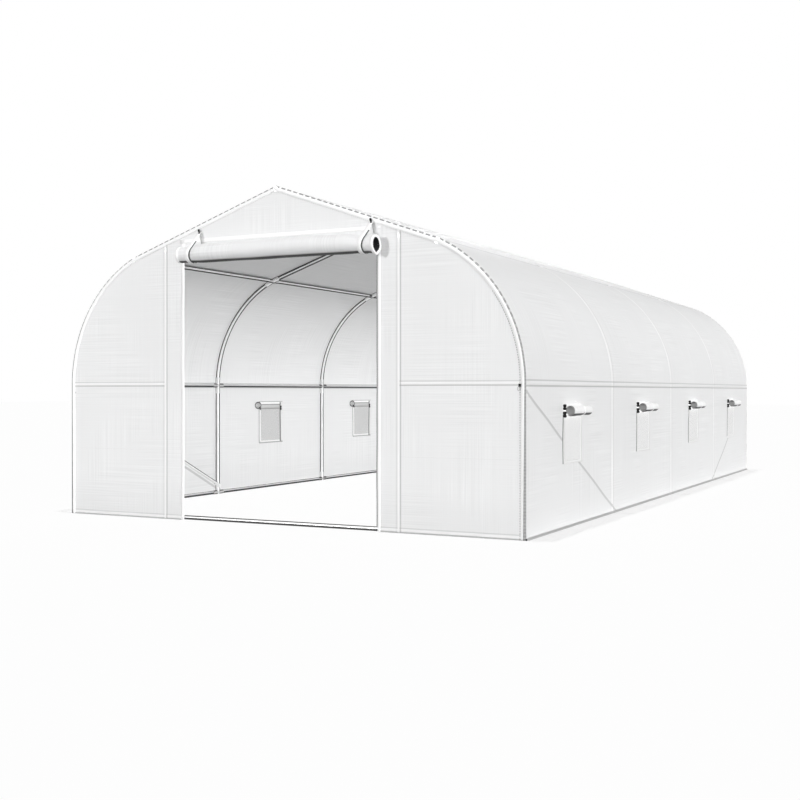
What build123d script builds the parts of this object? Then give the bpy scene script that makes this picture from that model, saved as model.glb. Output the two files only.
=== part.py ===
from build123d import *
from math import atan2, cos, degrees, radians, sin, tan
import os

os.makedirs("parts", exist_ok=True)

# A walk-in tunnel greenhouse: a frame of galvanised tubes under a sewn cover.
# X runs across the tunnel and Y along it, with one doorway facing -Y and a
# like one facing +Y. Z is up, and the ground is Z = 0.

# ---- Overall layout ----
BAY = 1525.0               # one hoop to the next
BAYS = 4
HALF_WIDTH = 1507.5        # middle of the tunnel to the axis of a side post
WAIST = 812.0              # ground to the joint on top of the side posts
BEND_RADIUS = 836.0        # axis of the bent tube above each post
BEND_ANGLE = 65.4          # how far that tube turns, in degrees
RIDGE_HEIGHT = 1927.0      # ground to the ridge joint

# ---- Tubes and the sockets that join them ----
HOOP_TUBE = 30.0
RAIL_TUBE = 25.0
BRACE_TUBE = 20.0
SOCKET_WALL = 1.5          # how far a socket stands proud of its tube
FOOT = 1.0                 # ground to the underside of the lowest rail sockets
FIT = 0.2                  # clearance around a tube in its socket
WEB = 3.5                  # metal between crossing sockets
REACH = 60.0               # joint centre to the mouth of a socket
CLAMP = 40.0               # length of a clamp that slides along a tube
TAB = 4.0                  # flattened end of a brace
TAB_WIDTH = 24.0

# ---- Cover ----
CLOTH = 2.0
SKIRT = 145.0              # cloth lying on the ground along each side
DOOR_HALF = 665.5          # half the width of a doorway
DOOR_POST = 787.0          # middle of the tunnel to a door post
DOOR_HEAD = 1620.0         # bottom edge of the cloth above a doorway

# ---- Windows in the side walls, one to a bay ----
WINDOW_SHIFT = -25.0       # from the middle of the bay towards the front
WINDOW_BOTTOM = 375.0
WINDOW_WIDTH = 285.0
WINDOW_HEIGHT = 285.0
HEM = 30.0                 # net border sewn over the cloth around the hole
FLAP_ROLL = 64.0           # diameter of the rolled-up window flap
FLAP_LENGTH = 330.0
FLAP_HEIGHT = 660.0        # ground to the middle of that roll

# ---- Rolled-up door curtains ----
DOOR_ROLL = 120.0
DOOR_ROLL_LENGTH = 1360.0
DOOR_ROLL_SHIFT = 25.0     # the roll sits a little to one side
DOOR_ROLL_HEIGHT = 1577.0
LEAF_TOP = 1668.0          # seam where the curtain leaves the gable
STRAP_OFFSET = 580.0
STRAP_WIDTH = 30.0
TOGGLE_HEIGHT = 1712.0
TOGGLE_LENGTH = 40.0
TOGGLE = 14.0

# ---- Sizes that follow from those ----
HOOPS = [(number - BAYS / 2) * BAY for number in range(BAYS + 1)]
END = BAY * BAYS / 2
RAIL_HEIGHT = FOOT + SOCKET_WALL + RAIL_TUBE / 2
BEND_X = HALF_WIDTH - BEND_RADIUS
SHOULDER_X = BEND_X + BEND_RADIUS * cos(radians(BEND_ANGLE))
SHOULDER_Z = WAIST + BEND_RADIUS * sin(radians(BEND_ANGLE))
SLOPE = degrees(atan2(RIDGE_HEIGHT - SHOULDER_Z, SHOULDER_X))
SLEEVE = HOOP_TUBE + 2 * SOCKET_WALL
RAIL_SLEEVE = RAIL_TUBE + 2 * SOCKET_WALL
BORE = HOOP_TUBE + 2 * FIT
RAIL_BORE = RAIL_TUBE + 2 * FIT
KNUCKLE = SLEEVE - 1       # drum in the middle of a purlin or ridge joint
HUB = SLEEVE / 2 + WEB     # joint centre to the bottom of a socket
START = HUB + FIT          # joint centre to the end of a tube
LINING = HOOP_TUBE / 2 + SOCKET_WALL + FIT    # hoop axis to the cover
SKIN = LINING + CLOTH                         # hoop axis to its outside
WALL_FACE = HALF_WIDTH + SKIN


# A door post ends below the slanting rafter, clear of its underside.
HEAD_DROP = (BORE / 2) / cos(radians(SLOPE)) + (RAIL_BORE / 2) * tan(radians(SLOPE))


def rafter_height(x):
    """Height of the rafter axis at a distance from the middle."""
    return RIDGE_HEIGHT - x * tan(radians(SLOPE))


def roof_height(x, offset):
    """Height of a line that runs above the rafter axis by an offset."""
    return rafter_height(x) + offset / cos(radians(SLOPE))


# ---- Tubes ----
def bar(start, end, diameter):
    """Straight round bar between two points."""
    way = Vector(*end) - Vector(*start)
    disc = Plane(origin=start, z_dir=way) * Circle(diameter / 2)
    return extrude(disc, amount=way.length)


def reach(centre, way, near, far, diameter):
    """Round bar along a direction, between two distances from a joint."""
    unit = Vector(*way).normalized()
    middle = Vector(*centre)
    return bar(tuple(middle + unit * near), tuple(middle + unit * far), diameter)


def bent(y, first, last, diameter):
    """Round bar that follows the right-hand bend between two angles."""
    axis = Axis((BEND_X, y, WAIST), (0, -1, 0))
    disc = Plane.XY.offset(WAIST) * Pos(HALF_WIDTH, y) * Circle(diameter / 2)
    return revolve(disc, axis, last - first).rotate(axis, first)


def bend_degrees(length):
    """Angle that a length along the bent tube takes up."""
    return degrees(length / BEND_RADIUS)


def mirrored(solids, plane=Plane.YZ):
    """The given solids and their reflections."""
    return solids + [mirror(solid, about=plane) for solid in solids]


def save(node, solids):
    """Write one named piece."""
    export_step(Compound(children=solids), f"parts/{node}.step")


# ---- Directions and ends used by several joints ----
UP = (0, 0, 1)
DOWN = (0, 0, -1)
INWARD = (-1, 0, 0)
OUTWARD = (1, 0, 0)
BACK = (0, 1, 0)
FRONT = (0, -1, 0)
DOWN_RAFTER = (cos(radians(SLOPE)), 0, -sin(radians(SLOPE)))
UP_RAFTER = (-DOWN_RAFTER[0], 0, -DOWN_RAFTER[2])
DOWN_LEFT_RAFTER = (-DOWN_RAFTER[0], 0, DOWN_RAFTER[2])


def along_ways(y):
    """Directions in which rails leave a hoop."""
    ways = []
    if y > -END:
        ways.append(FRONT)
    if y < END:
        ways.append(BACK)
    return ways


def is_end(y):
    return abs(y) == END


# ---- Hoops: two posts, two bends and two rafters each ----
def hoop(y):
    post = bar(
        (HALF_WIDTH, y, RAIL_HEIGHT + START),
        (HALF_WIDTH, y, WAIST - START),
        HOOP_TUBE,
    )
    stop = bend_degrees(START)
    bend = bent(y, stop, BEND_ANGLE - stop, HOOP_TUBE)
    run = SHOULDER_X / cos(radians(SLOPE))
    rafter = reach(
        (SHOULDER_X, y, SHOULDER_Z), UP_RAFTER, START, run - START, HOOP_TUBE
    )
    return mirrored([post, bend, rafter])


HOOP_NAMES = ["front_hoop", "second_hoop", "middle_hoop", "fourth_hoop", "back_hoop"]
for name, y in zip(HOOP_NAMES, HOOPS):
    save(name, hoop(y))


# ---- Rails along the tunnel, one length to a bay ----
def rails(x, z):
    return [
        bar((x, y + START, z), (x, y + BAY - START, z), RAIL_TUBE)
        for y in HOOPS[:-1]
    ]


save("ridge_rail", rails(0, RIDGE_HEIGHT))
for side, sign in (("left", -1), ("right", 1)):
    save(f"{side}_purlin", rails(sign * SHOULDER_X, SHOULDER_Z))
    save(f"{side}_waist_rail", rails(sign * HALF_WIDTH, WAIST))
    save(f"{side}_base_rail", rails(sign * HALF_WIDTH, RAIL_HEIGHT))

# ---- Rails and posts of the two end walls ----
base_side = bar(
    (DOOR_POST + START, -END, RAIL_HEIGHT),
    (HALF_WIDTH - START, -END, RAIL_HEIGHT),
    RAIL_TUBE,
)
base_sill = bar(
    (START - DOOR_POST, -END, RAIL_HEIGHT),
    (DOOR_POST - START, -END, RAIL_HEIGHT),
    RAIL_TUBE,
)
waist_side = bar(
    (DOOR_POST + START, -END, WAIST),
    (HALF_WIDTH - START, -END, WAIST),
    RAIL_TUBE,
)
door_post = bar(
    (DOOR_POST, -END, RAIL_HEIGHT + START),
    (DOOR_POST, -END, rafter_height(DOOR_POST) - HEAD_DROP - FIT),
    RAIL_TUBE,
)
save("end_base_rails", mirrored(mirrored([base_side]) + [base_sill], Plane.XZ))
save("end_waist_rails", mirrored(mirrored([waist_side]), Plane.XZ))
save("front_door_posts", mirrored([door_post]))
save("back_door_posts", mirrored([mirror(door_post, about=Plane.XZ)]))

# ---- Braces, from the waist of an end hoop to the foot of the next ----
BRACE_TOP = WAIST - REACH + TAB_WIDTH / 2
BRACE_FOOT = RAIL_HEIGHT + REACH - TAB_WIDTH / 2
BRACE_X = HALF_WIDTH - HOOP_TUBE / 2 - SOCKET_WALL - FIT - BRACE_TUBE / 2


def brace():
    """Tube with both ends pressed flat where they lie on a socket."""
    high = Vector(BRACE_X, -END, BRACE_TOP)
    low = Vector(BRACE_X, BAY - END, BRACE_FOOT)
    way = (low - high).normalized()
    length = (low - high).length
    tube = reach(tuple(high), tuple(way), REACH, length - REACH, BRACE_TUBE)
    plane = Plane(origin=high, x_dir=way, z_dir=(1, 0, 0))
    flat = Pos(length / 2, 0, (BRACE_TUBE - TAB) / 2) * Box(length + TAB_WIDTH, TAB_WIDTH, TAB)
    middle = Pos(length / 2, 0, 0) * Box(length - 2 * REACH - 20, TAB_WIDTH + 2, BRACE_TUBE + 2)
    return tube + plane * (flat - middle)


save("diagonal_braces", mirrored(mirrored([brace()]), Plane.XZ))


# ---- Joint sockets ----
def arms(centre, ways, sleeve, bore):
    """Sleeves that leave a joint in several directions, and their bores."""
    sleeves = [reach(centre, way, 0, REACH, sleeve) for way in ways]
    bores = [reach(centre, way, HUB, REACH + 1, bore) for way in ways]
    return sleeves, bores


def joined(sleeves, bores):
    body = sleeves[0]
    for sleeve in sleeves[1:]:
        body = body + sleeve
    for bore in bores:
        body = body - bore
    return body


def knuckle(centre):
    """Short drum that fills the kink where two hoop tubes meet."""
    return reach(centre, BACK, -KNUCKLE / 2, KNUCKLE / 2, KNUCKLE)


def base_fitting(y):
    centre = (HALF_WIDTH, y, RAIL_HEIGHT)
    ways = along_ways(y) + ([INWARD] if is_end(y) else [])
    sleeves, bores = arms(centre, ways, RAIL_SLEEVE, RAIL_BORE)
    sleeves.append(reach(centre, UP, -RAIL_HEIGHT, REACH, SLEEVE))
    bores.append(reach(centre, UP, HUB, REACH + 1, BORE))
    return joined(sleeves, bores)


def waist_fitting(y):
    centre = (HALF_WIDTH, y, WAIST)
    ways = along_ways(y) + ([INWARD] if is_end(y) else [])
    sleeves, bores = arms(centre, ways, RAIL_SLEEVE, RAIL_BORE)
    sleeves.append(reach(centre, DOWN, 0, REACH, SLEEVE))
    sleeves.append(bent(y, 0, bend_degrees(REACH), SLEEVE))
    bores.append(reach(centre, DOWN, HUB, REACH + 1, BORE))
    bores.append(bent(y, bend_degrees(HUB), bend_degrees(REACH + 1), BORE))
    return joined(sleeves, bores)


def purlin_fitting(y):
    centre = (SHOULDER_X, y, SHOULDER_Z)
    sleeves, bores = arms(centre, along_ways(y), RAIL_SLEEVE, RAIL_BORE)
    sleeves.append(knuckle(centre))
    sleeves.append(reach(centre, UP_RAFTER, 0, REACH, SLEEVE))
    sleeves.append(bent(y, BEND_ANGLE - bend_degrees(REACH), BEND_ANGLE, SLEEVE))
    bores.append(reach(centre, UP_RAFTER, HUB, REACH + 1, BORE))
    bores.append(
        bent(y, BEND_ANGLE - bend_degrees(REACH + 1), BEND_ANGLE - bend_degrees(HUB), BORE)
    )
    return joined(sleeves, bores)


def ridge_fitting(y):
    centre = (0, y, RIDGE_HEIGHT)
    rafters = [DOWN_RAFTER, DOWN_LEFT_RAFTER]
    sleeves, bores = arms(centre, along_ways(y), RAIL_SLEEVE, RAIL_BORE)
    more_sleeves, more_bores = arms(centre, rafters, SLEEVE, BORE)
    return joined([knuckle(centre)] + sleeves + more_sleeves, bores + more_bores)


save("base_fittings", mirrored([base_fitting(y) for y in HOOPS]))
save("waist_fittings", mirrored([waist_fitting(y) for y in HOOPS]))
save("purlin_fittings", mirrored([purlin_fitting(y) for y in HOOPS]))
save("ridge_fittings", [ridge_fitting(y) for y in HOOPS])


def door_fittings():
    """Joints of one front door post with the sill, waist rail and rafter."""
    foot = (DOOR_POST, -END, RAIL_HEIGHT)
    foot_joint = joined(*arms(foot, [INWARD, OUTWARD, UP], RAIL_SLEEVE, RAIL_BORE))

    waist = (DOOR_POST, -END, WAIST)
    waist_clamp = joined(
        [
            reach(waist, UP, -CLAMP / 2, CLAMP / 2, RAIL_SLEEVE),
            reach(waist, OUTWARD, 0, REACH, RAIL_SLEEVE),
        ],
        [
            reach(waist, UP, -CLAMP, CLAMP, RAIL_BORE),
            reach(waist, OUTWARD, HUB, REACH + 1, RAIL_BORE),
        ],
    )

    head = (DOOR_POST, -END, rafter_height(DOOR_POST))
    head_clamp = joined(
        [
            reach(head, UP_RAFTER, -CLAMP / 2, CLAMP / 2, SLEEVE),
            reach(head, DOWN, 0, REACH, RAIL_SLEEVE),
        ],
        [
            reach(head, UP_RAFTER, -REACH, REACH, BORE),
            reach(head, DOWN, HEAD_DROP, REACH + 1, RAIL_BORE),
        ],
    )
    return [foot_joint, waist_clamp, head_clamp]


save("door_post_fittings", mirrored(mirrored(door_fittings()), Plane.XZ))

# ---- Cover over the hoops ----
COVER_LENGTH = 2 * (END + LINING - FIT)
WINDOW_YS = [y + BAY / 2 + WINDOW_SHIFT for y in HOOPS[:-1]]
WINDOW_MIDDLE = WINDOW_BOTTOM + WINDOW_HEIGHT / 2


def side_wall():
    wall = Pos(HALF_WIDTH + LINING + CLOTH / 2, 0, WAIST / 2) * Box(CLOTH, COVER_LENGTH, WAIST)
    for y in WINDOW_YS:
        hole = Box(CLOTH * 3, WINDOW_WIDTH, WINDOW_HEIGHT)
        wall = wall - Pos(WALL_FACE, y, WINDOW_MIDDLE) * hole
    return wall


def shoulder_cloth():
    strip = Pos(HALF_WIDTH + LINING + CLOTH / 2, 0) * Rectangle(CLOTH, COVER_LENGTH)
    axis = Axis((BEND_X, 0, WAIST), (0, -1, 0))
    return revolve(Plane.XY.offset(WAIST) * strip, axis, BEND_ANGLE)


def bend_point(offset):
    """Upper end of the bend, a distance outside its axis."""
    radius = BEND_RADIUS + offset
    return (
        BEND_X + radius * cos(radians(BEND_ANGLE)),
        WAIST + radius * sin(radians(BEND_ANGLE)),
    )


def roof_cloth():
    corners = [
        bend_point(LINING),
        bend_point(SKIN),
        (0, roof_height(0, SKIN)),
        (0, roof_height(0, LINING)),
    ]
    section = Plane.XZ * make_face(Polyline(*corners, close=True))
    return extrude(section, amount=COVER_LENGTH / 2, both=True)


for side, sign in (("left", -1), ("right", 1)):
    for node, solid in (
        (f"{side}_wall_cover", side_wall()),
        (f"{side}_shoulder_cover", shoulder_cloth()),
        (f"{side}_roof_cover", roof_cloth()),
    ):
        save(node, [solid if sign > 0 else mirror(solid, about=Plane.YZ)])

skirt = Pos(WALL_FACE + FIT + SKIRT / 2, 0, CLOTH / 2) * Box(SKIRT, COVER_LENGTH, CLOTH)
save("right_skirt", [skirt])
save("left_skirt", [mirror(skirt, about=Plane.YZ)])

# ---- End walls: a panel on each side of the doorway and a gable over it ----
PANEL_PLANE = Plane.XZ.offset(END + LINING)


def side_panel():
    top = bend_point(SKIN)
    outline = [
        Line((DOOR_HALF, 0), (WALL_FACE, 0)),
        Line((WALL_FACE, 0), (WALL_FACE, WAIST)),
        CenterArc((BEND_X, WAIST), BEND_RADIUS + SKIN, 0, BEND_ANGLE),
        Line(top, (DOOR_HALF, roof_height(DOOR_HALF, SKIN))),
        Line((DOOR_HALF, roof_height(DOOR_HALF, SKIN)), (DOOR_HALF, 0)),
    ]
    return extrude(PANEL_PLANE * make_face(outline), amount=CLOTH)


def gable():
    edge = DOOR_HALF - FIT
    corners = [
        (-edge, DOOR_HEAD),
        (edge, DOOR_HEAD),
        (edge, roof_height(edge, SKIN)),
        (0, roof_height(0, SKIN)),
        (-edge, roof_height(edge, SKIN)),
    ]
    return extrude(PANEL_PLANE * make_face(Polyline(*corners, close=True)), amount=CLOTH)


panel = side_panel()
save("front_right_panel", [panel])
save("front_left_panel", [mirror(panel, about=Plane.YZ)])
save("front_gable", [gable()])
back_panel = mirror(panel, about=Plane.XZ)
save("back_right_panel", [back_panel])
save("back_left_panel", [mirror(back_panel, about=Plane.YZ)])
save("back_gable", [mirror(gable(), about=Plane.XZ)])


# ---- Rolled door curtains, held up by straps from the gables ----
GABLE_FACE = -(END + SKIN)
LEAF_BACK = GABLE_FACE - FIT
ROLL_Y = LEAF_BACK - DOOR_ROLL / 2
STRAP_INSIDE = DOOR_ROLL / 2 + FIT
STRAP_OUTSIDE = STRAP_INSIDE + CLOTH


def door_curtain():
    """Curtain coming out of its seam on the gable and round its own roll."""
    half = DOOR_ROLL_LENGTH / 2
    roll = bar(
        (DOOR_ROLL_SHIFT - half, ROLL_Y, DOOR_ROLL_HEIGHT),
        (DOOR_ROLL_SHIFT + half, ROLL_Y, DOOR_ROLL_HEIGHT),
        DOOR_ROLL,
    )
    leaf_height = LEAF_TOP - DOOR_ROLL_HEIGHT
    leaf = Box(2 * DOOR_HALF - 20, CLOTH, leaf_height)
    return roll + Pos(0, LEAF_BACK - CLOTH / 2, DOOR_ROLL_HEIGHT + leaf_height / 2) * leaf


def strap():
    """Band from the toggle down in front of the roll and under it."""
    band = Plane.YZ.offset(-STRAP_WIDTH / 2) * Pos(ROLL_Y, DOOR_ROLL_HEIGHT)
    ring = Circle(STRAP_OUTSIDE) - Circle(STRAP_INSIDE)
    open_quarter = Pos(STRAP_OUTSIDE, STRAP_OUTSIDE) * Rectangle(
        2 * STRAP_OUTSIDE, 2 * STRAP_OUTSIDE
    )
    around = extrude(band * (ring - open_quarter), amount=STRAP_WIDTH)
    rise = TOGGLE_HEIGHT - TOGGLE_LENGTH / 2 - DOOR_ROLL_HEIGHT
    tail = [
        (0, STRAP_INSIDE),
        (0, STRAP_OUTSIDE),
        (DOOR_ROLL / 2 - TOGGLE, rise),
        (DOOR_ROLL / 2 - CLOTH, rise),
    ]
    up = extrude(band * make_face(Polyline(*tail, close=True)), amount=STRAP_WIDTH)
    return around + up


toggle = Box(TOGGLE, TOGGLE, TOGGLE_LENGTH)
curtain = door_curtain()
save("front_door_curtain", [curtain])
save("back_door_curtain", [curtain.rotate(Axis.Z, 180)])
band = strap()
front_straps = [Pos(x, 0, 0) * band for x in (-STRAP_OFFSET, STRAP_OFFSET)]
front_toggles = [
    Pos(x, LEAF_BACK - TOGGLE / 2, TOGGLE_HEIGHT) * toggle
    for x in (-STRAP_OFFSET, STRAP_OFFSET)
]
save("door_straps", front_straps + [item.rotate(Axis.Z, 180) for item in front_straps])
save("door_toggles", front_toggles + [item.rotate(Axis.Z, 180) for item in front_toggles])

# ---- Window nets and the flaps rolled up over them ----
NET_FACE = WALL_FACE + FIT + CLOTH
nets = [
    Pos(NET_FACE - CLOTH / 2, y, WINDOW_MIDDLE)
    * Box(CLOTH, WINDOW_WIDTH + 2 * HEM, WINDOW_HEIGHT + 2 * HEM)
    for y in WINDOW_YS
]
flap_x = NET_FACE + FIT + FLAP_ROLL / 2
flaps = [
    bar(
        (flap_x, y - FLAP_LENGTH / 2, FLAP_HEIGHT),
        (flap_x, y + FLAP_LENGTH / 2, FLAP_HEIGHT),
        FLAP_ROLL,
    )
    for y in WINDOW_YS
]
save("right_window_nets", nets)
save("left_window_nets", [mirror(net, about=Plane.YZ) for net in nets])
save("right_window_flaps", flaps)
save("left_window_flaps", [mirror(flap, about=Plane.YZ) for flap in flaps])
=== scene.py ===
from math import atan2, ceil, cos, hypot, pi, radians, sin, sqrt

import bpy
import numpy as np
from mathutils.geometry import delaunay_2d_cdt
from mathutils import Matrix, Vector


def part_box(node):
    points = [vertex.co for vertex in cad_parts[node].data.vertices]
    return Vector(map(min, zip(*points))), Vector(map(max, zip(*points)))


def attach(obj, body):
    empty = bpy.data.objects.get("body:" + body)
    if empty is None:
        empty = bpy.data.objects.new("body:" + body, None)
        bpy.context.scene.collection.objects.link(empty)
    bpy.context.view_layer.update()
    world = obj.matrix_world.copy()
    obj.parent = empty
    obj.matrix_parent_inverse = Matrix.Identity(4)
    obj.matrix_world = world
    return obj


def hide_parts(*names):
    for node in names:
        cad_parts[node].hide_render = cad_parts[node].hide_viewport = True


# A tunnel greenhouse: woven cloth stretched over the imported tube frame. Metres,
# X across the tunnel, Y along it with the front at -Y, Z up from the ground.
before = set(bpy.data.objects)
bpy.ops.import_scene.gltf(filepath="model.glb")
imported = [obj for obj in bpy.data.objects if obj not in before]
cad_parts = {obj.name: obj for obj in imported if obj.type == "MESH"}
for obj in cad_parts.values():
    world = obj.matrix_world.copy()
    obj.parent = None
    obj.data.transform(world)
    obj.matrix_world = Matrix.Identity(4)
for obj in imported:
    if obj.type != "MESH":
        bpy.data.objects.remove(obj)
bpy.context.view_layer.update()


# ------------------------------------------------ measures
def middle(node):
    low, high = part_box(node)
    return (low + high) / 2


def extent(node):
    low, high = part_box(node)
    return high - low


# Frame of tubes
HOOPS = ("front_hoop", "second_hoop", "middle_hoop", "fourth_hoop", "back_hoop")
HOOP_YS = [middle(name).y for name in HOOPS]
END_Y = HOOP_YS[-1]
BAY = HOOP_YS[1] - HOOP_YS[0]
HOOP_R = extent("front_hoop").y / 2
RAIL_R = extent("right_waist_rail").x / 2
SIDE_X = middle("right_waist_rail").x
WAIST_Z = middle("right_waist_rail").z
BASE_Z = middle("right_base_rail").z
PURLIN_X, PURLIN_Z = middle("right_purlin").x, middle("right_purlin").z
RIDGE_Z = middle("ridge_rail").z
POST_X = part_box("front_door_posts")[1].x - RAIL_R
ENDS = (("front", 1), ("back", -1))     # name and turn: the back is turned half round

# Shape of a hoop: post, bend tangent to it, rafter
BEND_R = ((SIDE_X - PURLIN_X) ** 2 + (PURLIN_Z - WAIST_Z) ** 2) / (2 * (SIDE_X - PURLIN_X))
BEND_X = SIDE_X - BEND_R
BEND_ANGLE = atan2(PURLIN_Z - WAIST_Z, PURLIN_X - BEND_X)
SLOPE = atan2(RIDGE_Z - PURLIN_Z, PURLIN_X)
RAFTER = hypot(PURLIN_X, RIDGE_Z - PURLIN_Z)

# Cloth: how far it lies outside the axes of the tubes
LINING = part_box("right_wall_cover")[0].x - SIDE_X
HOOP_REST = LINING + 0.0006
RAIL_REST = HOOP_REST - (HOOP_R - RAIL_R)
SLACK = 0.0130              # between the tubes
SEAM_ANGLE = radians(38)    # where the end walls are sewn on, round the end hoops
GAP = 0.0012                # one layer of cloth to the next
SKIRT_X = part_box("right_skirt")[1].x
FOOT_Z = 0.012              # where the side walls start to turn out onto the ground
ROUND = 0.012               # how sharply they do
WAVE = 0.0010               # ripples of the stretched cloth
LOOSE = 0.12                # distance from the tubes over which they grow to that
DIP = 0.0015                # how far the cover hangs in between two hoops

# Doorways
DOOR_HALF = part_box("front_gable")[1].x
HEAD_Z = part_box("front_gable")[0].z

# Windows: the net with its sewn border covers the hole
net_low, net_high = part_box("right_window_nets")
BORDER = 0.03
NET_RAISE = 0.014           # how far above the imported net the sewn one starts
NET_LOW, NET_HIGH = net_low.z + NET_RAISE, net_high.z
NET_WIDTH = net_high.y - net_low.y - (len(HOOPS) - 2) * BAY
WINDOW_YS = [y + BAY / 2 + (net_low.y + net_high.y) / 2 for y in HOOP_YS[:-1]]
HOLE_HALF = NET_WIDTH / 2 - BORDER
HOLE_LOW, HOLE_HIGH = net_low.z + BORDER, NET_HIGH - BORDER

# Braces in the end bays, from waist to foot: height of their axes, and fall of their painted
# shadow on the cover
brace_low, brace_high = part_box("diagonal_braces")
BRACE_PAST = 0.016          # how far a tube reaches past the end of its axis
BRACE_TOP, BRACE_FOOT = brace_high.z - BRACE_PAST, brace_low.z + BRACE_PAST
BRACE_FALL = atan2(BRACE_TOP - BRACE_FOOT + 0.018, BAY)


# ------------------------------------------------ helpers
def stops(start, stop, marks, lines=(), fine=0.004, reach=0.032, coarse=0.036):
    """Grid positions between two ends, close together within reach of each mark."""
    steps = round(reach / fine)
    near = [mark + i * fine for mark in marks for i in range(-steps, steps + 1)]
    wanted = [start, stop, *lines, *near]
    fixed = sorted({round(v, 5) for v in wanted if start - 1e-6 <= v <= stop + 1e-6})
    placed = [fixed[0]]
    for value in fixed[1:]:
        last = placed[-1]
        count = max(1, ceil((value - last) / coarse))
        placed += [last + (value - last) * (i + 1) / count for i in range(count)]
    return np.array(placed)


def waves(u, v, size, seed, count=16):
    """Soft random ripples about one unit high, with wavelengths near size."""
    rng = np.random.default_rng(seed)
    total = 0
    for _ in range(count):
        angle, length = rng.uniform(0, pi), size * rng.uniform(0.6, 1.8)
        phase = rng.uniform(0, 2 * pi)
        total = total + np.sin(2 * pi * (u * cos(angle) + v * sin(angle)) / length + phase)
    return total * sqrt(2 / count)


def smooth(share):
    """The share from 0 to 1, with a soft start and end."""
    return share * share * (3 - 2 * share)


def eased(value, marks, levels):
    """Smooth steps between levels at the marks."""
    value = np.clip(value, marks[0], marks[-1])
    index = np.clip(np.searchsorted(marks, value, side="right") - 1, 0, len(marks) - 2)
    marks, levels = np.asarray(marks), np.asarray(levels)
    share = smooth((value - marks[index]) / (marks[index + 1] - marks[index]))
    return levels[index] + (levels[index + 1] - levels[index]) * share


def nearest(value, marks):
    """Signed distance past the nearest mark."""
    gaps = np.asarray(value)[..., None] - np.asarray(marks)
    index = np.abs(gaps).argmin(-1)[..., None]
    return np.take_along_axis(gaps, index, -1)[..., 0]


def places(*axes):
    """Points from their coordinates, single values or arrays that fit together."""
    return np.stack(np.broadcast_arrays(*axes), -1)


def run_of(path):
    """Length along a path at each of its points."""
    steps = np.linalg.norm(np.diff(path, axis=0), axis=1)
    return np.concatenate([[0], np.cumsum(steps)])


def turned(points, turn):
    """The points as they are, or turned half round Z for the back of the tunnel."""
    return np.asarray(points) * (turn, turn, 1)


def ridge(distance, rise, radius):
    """Height that a tube under the cloth adds at a distance from its axis."""
    return rise * np.exp(-(distance ** 2) / (2 * rise * radius))


def cloth_height(past, hoop_gap, rail_gap, loose_gap, ripples, dip=0.0):
    """Height of stretched cloth above the plane of the tubes' axes, given how far it is from
    them. It bends round the end hoop where it is past its axis; ripples grow over LOOSE."""
    over_hoop = ridge(hoop_gap, HOOP_REST - SLACK, HOOP_REST)
    over_rail = ridge(rail_gap, RAIL_REST - SLACK, RAIL_REST)
    height = SLACK + (over_hoop ** 4 + over_rail ** 4) ** 0.25
    loose = np.clip(loose_gap / LOOSE, 0, 1) * np.clip(rail_gap / LOOSE, 0, 1)
    rounded = np.sqrt(np.maximum(HOOP_REST ** 2 - past ** 2, 0))
    return np.where(past > 0, rounded, height - dip + WAVE * loose * ripples)


# A part is its points, its faces and a UV for each point
def grid_faces(rows, columns, wrap_rows=False, wrap_columns=False):
    """Quads over points stored row by row."""
    index = np.arange(rows * columns).reshape(rows, columns)
    if wrap_rows:
        index = np.vstack([index, index[:1]])
    if wrap_columns:
        index = np.hstack([index, index[:, :1]])
    corners = [index[:-1, :-1], index[:-1, 1:], index[1:, 1:], index[1:, :-1]]
    return np.stack(corners, -1).reshape(-1, 4)


def tube_faces(count, ring, closed=False):
    """Faces over rings of points, capped at both ends unless they close on themselves."""
    faces = grid_faces(count, ring, wrap_rows=closed, wrap_columns=True).tolist()
    if not closed:
        faces += [list(range(ring))[::-1], list(range((count - 1) * ring, count * ring))]
    return faces


def make(name, part, paint, values=None, other=None):
    """Mesh piece that rides on the frame, from a part or a list of them.

    values are named values for each point; other is a second paint and which faces have it."""
    points, faces, uv = joined(part) if isinstance(part, list) else part
    mesh = bpy.data.meshes.new(name)
    mesh.from_pydata(np.reshape(points, (-1, 3)).tolist(), [], [list(f) for f in faces])
    mesh.polygons.foreach_set("use_smooth", [True] * len(mesh.polygons))
    corner = np.zeros(len(mesh.loops), np.int32)
    mesh.loops.foreach_get("vertex_index", corner)
    layer = mesh.uv_layers.new(name="cloth")
    layer.data.foreach_set("uv", np.asarray(uv, np.float32).reshape(-1, 2)[corner].ravel())
    for key, value in (values or {}).items():
        attribute = mesh.attributes.new(key, "FLOAT", "POINT")
        attribute.data.foreach_set("value", np.asarray(value, np.float32).ravel())
    mesh.materials.append(paint)
    if other:
        mesh.materials.append(other[0])
        mesh.polygons.foreach_set("material_index", np.asarray(other[1], np.int32))
    piece = bpy.data.objects.new(name, mesh)
    bpy.context.scene.collection.objects.link(piece)
    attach(piece, "root")
    return piece


def joined(parts):
    """Several parts as one."""
    points, faces, uvs, count = [], [], [], 0
    for part_points, part_faces, part_uv in parts:
        points.append(np.reshape(part_points, (-1, 3)))
        uvs.append(np.reshape(part_uv, (-1, 2)))
        faces += [[i + count for i in face] for face in part_faces]
        count += len(points[-1])
    return np.vstack(points), faces, np.vstack(uvs)


def tape(width, thickness):
    """Section of a flat band with softened edges, lying on its inner face."""
    w, t = width / 2, thickness
    return [(-w, 0), (w, 0), (w, t * 0.6), (w - t * 0.5, t), (-w + t * 0.5, t), (-w, t * 0.6)]


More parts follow.
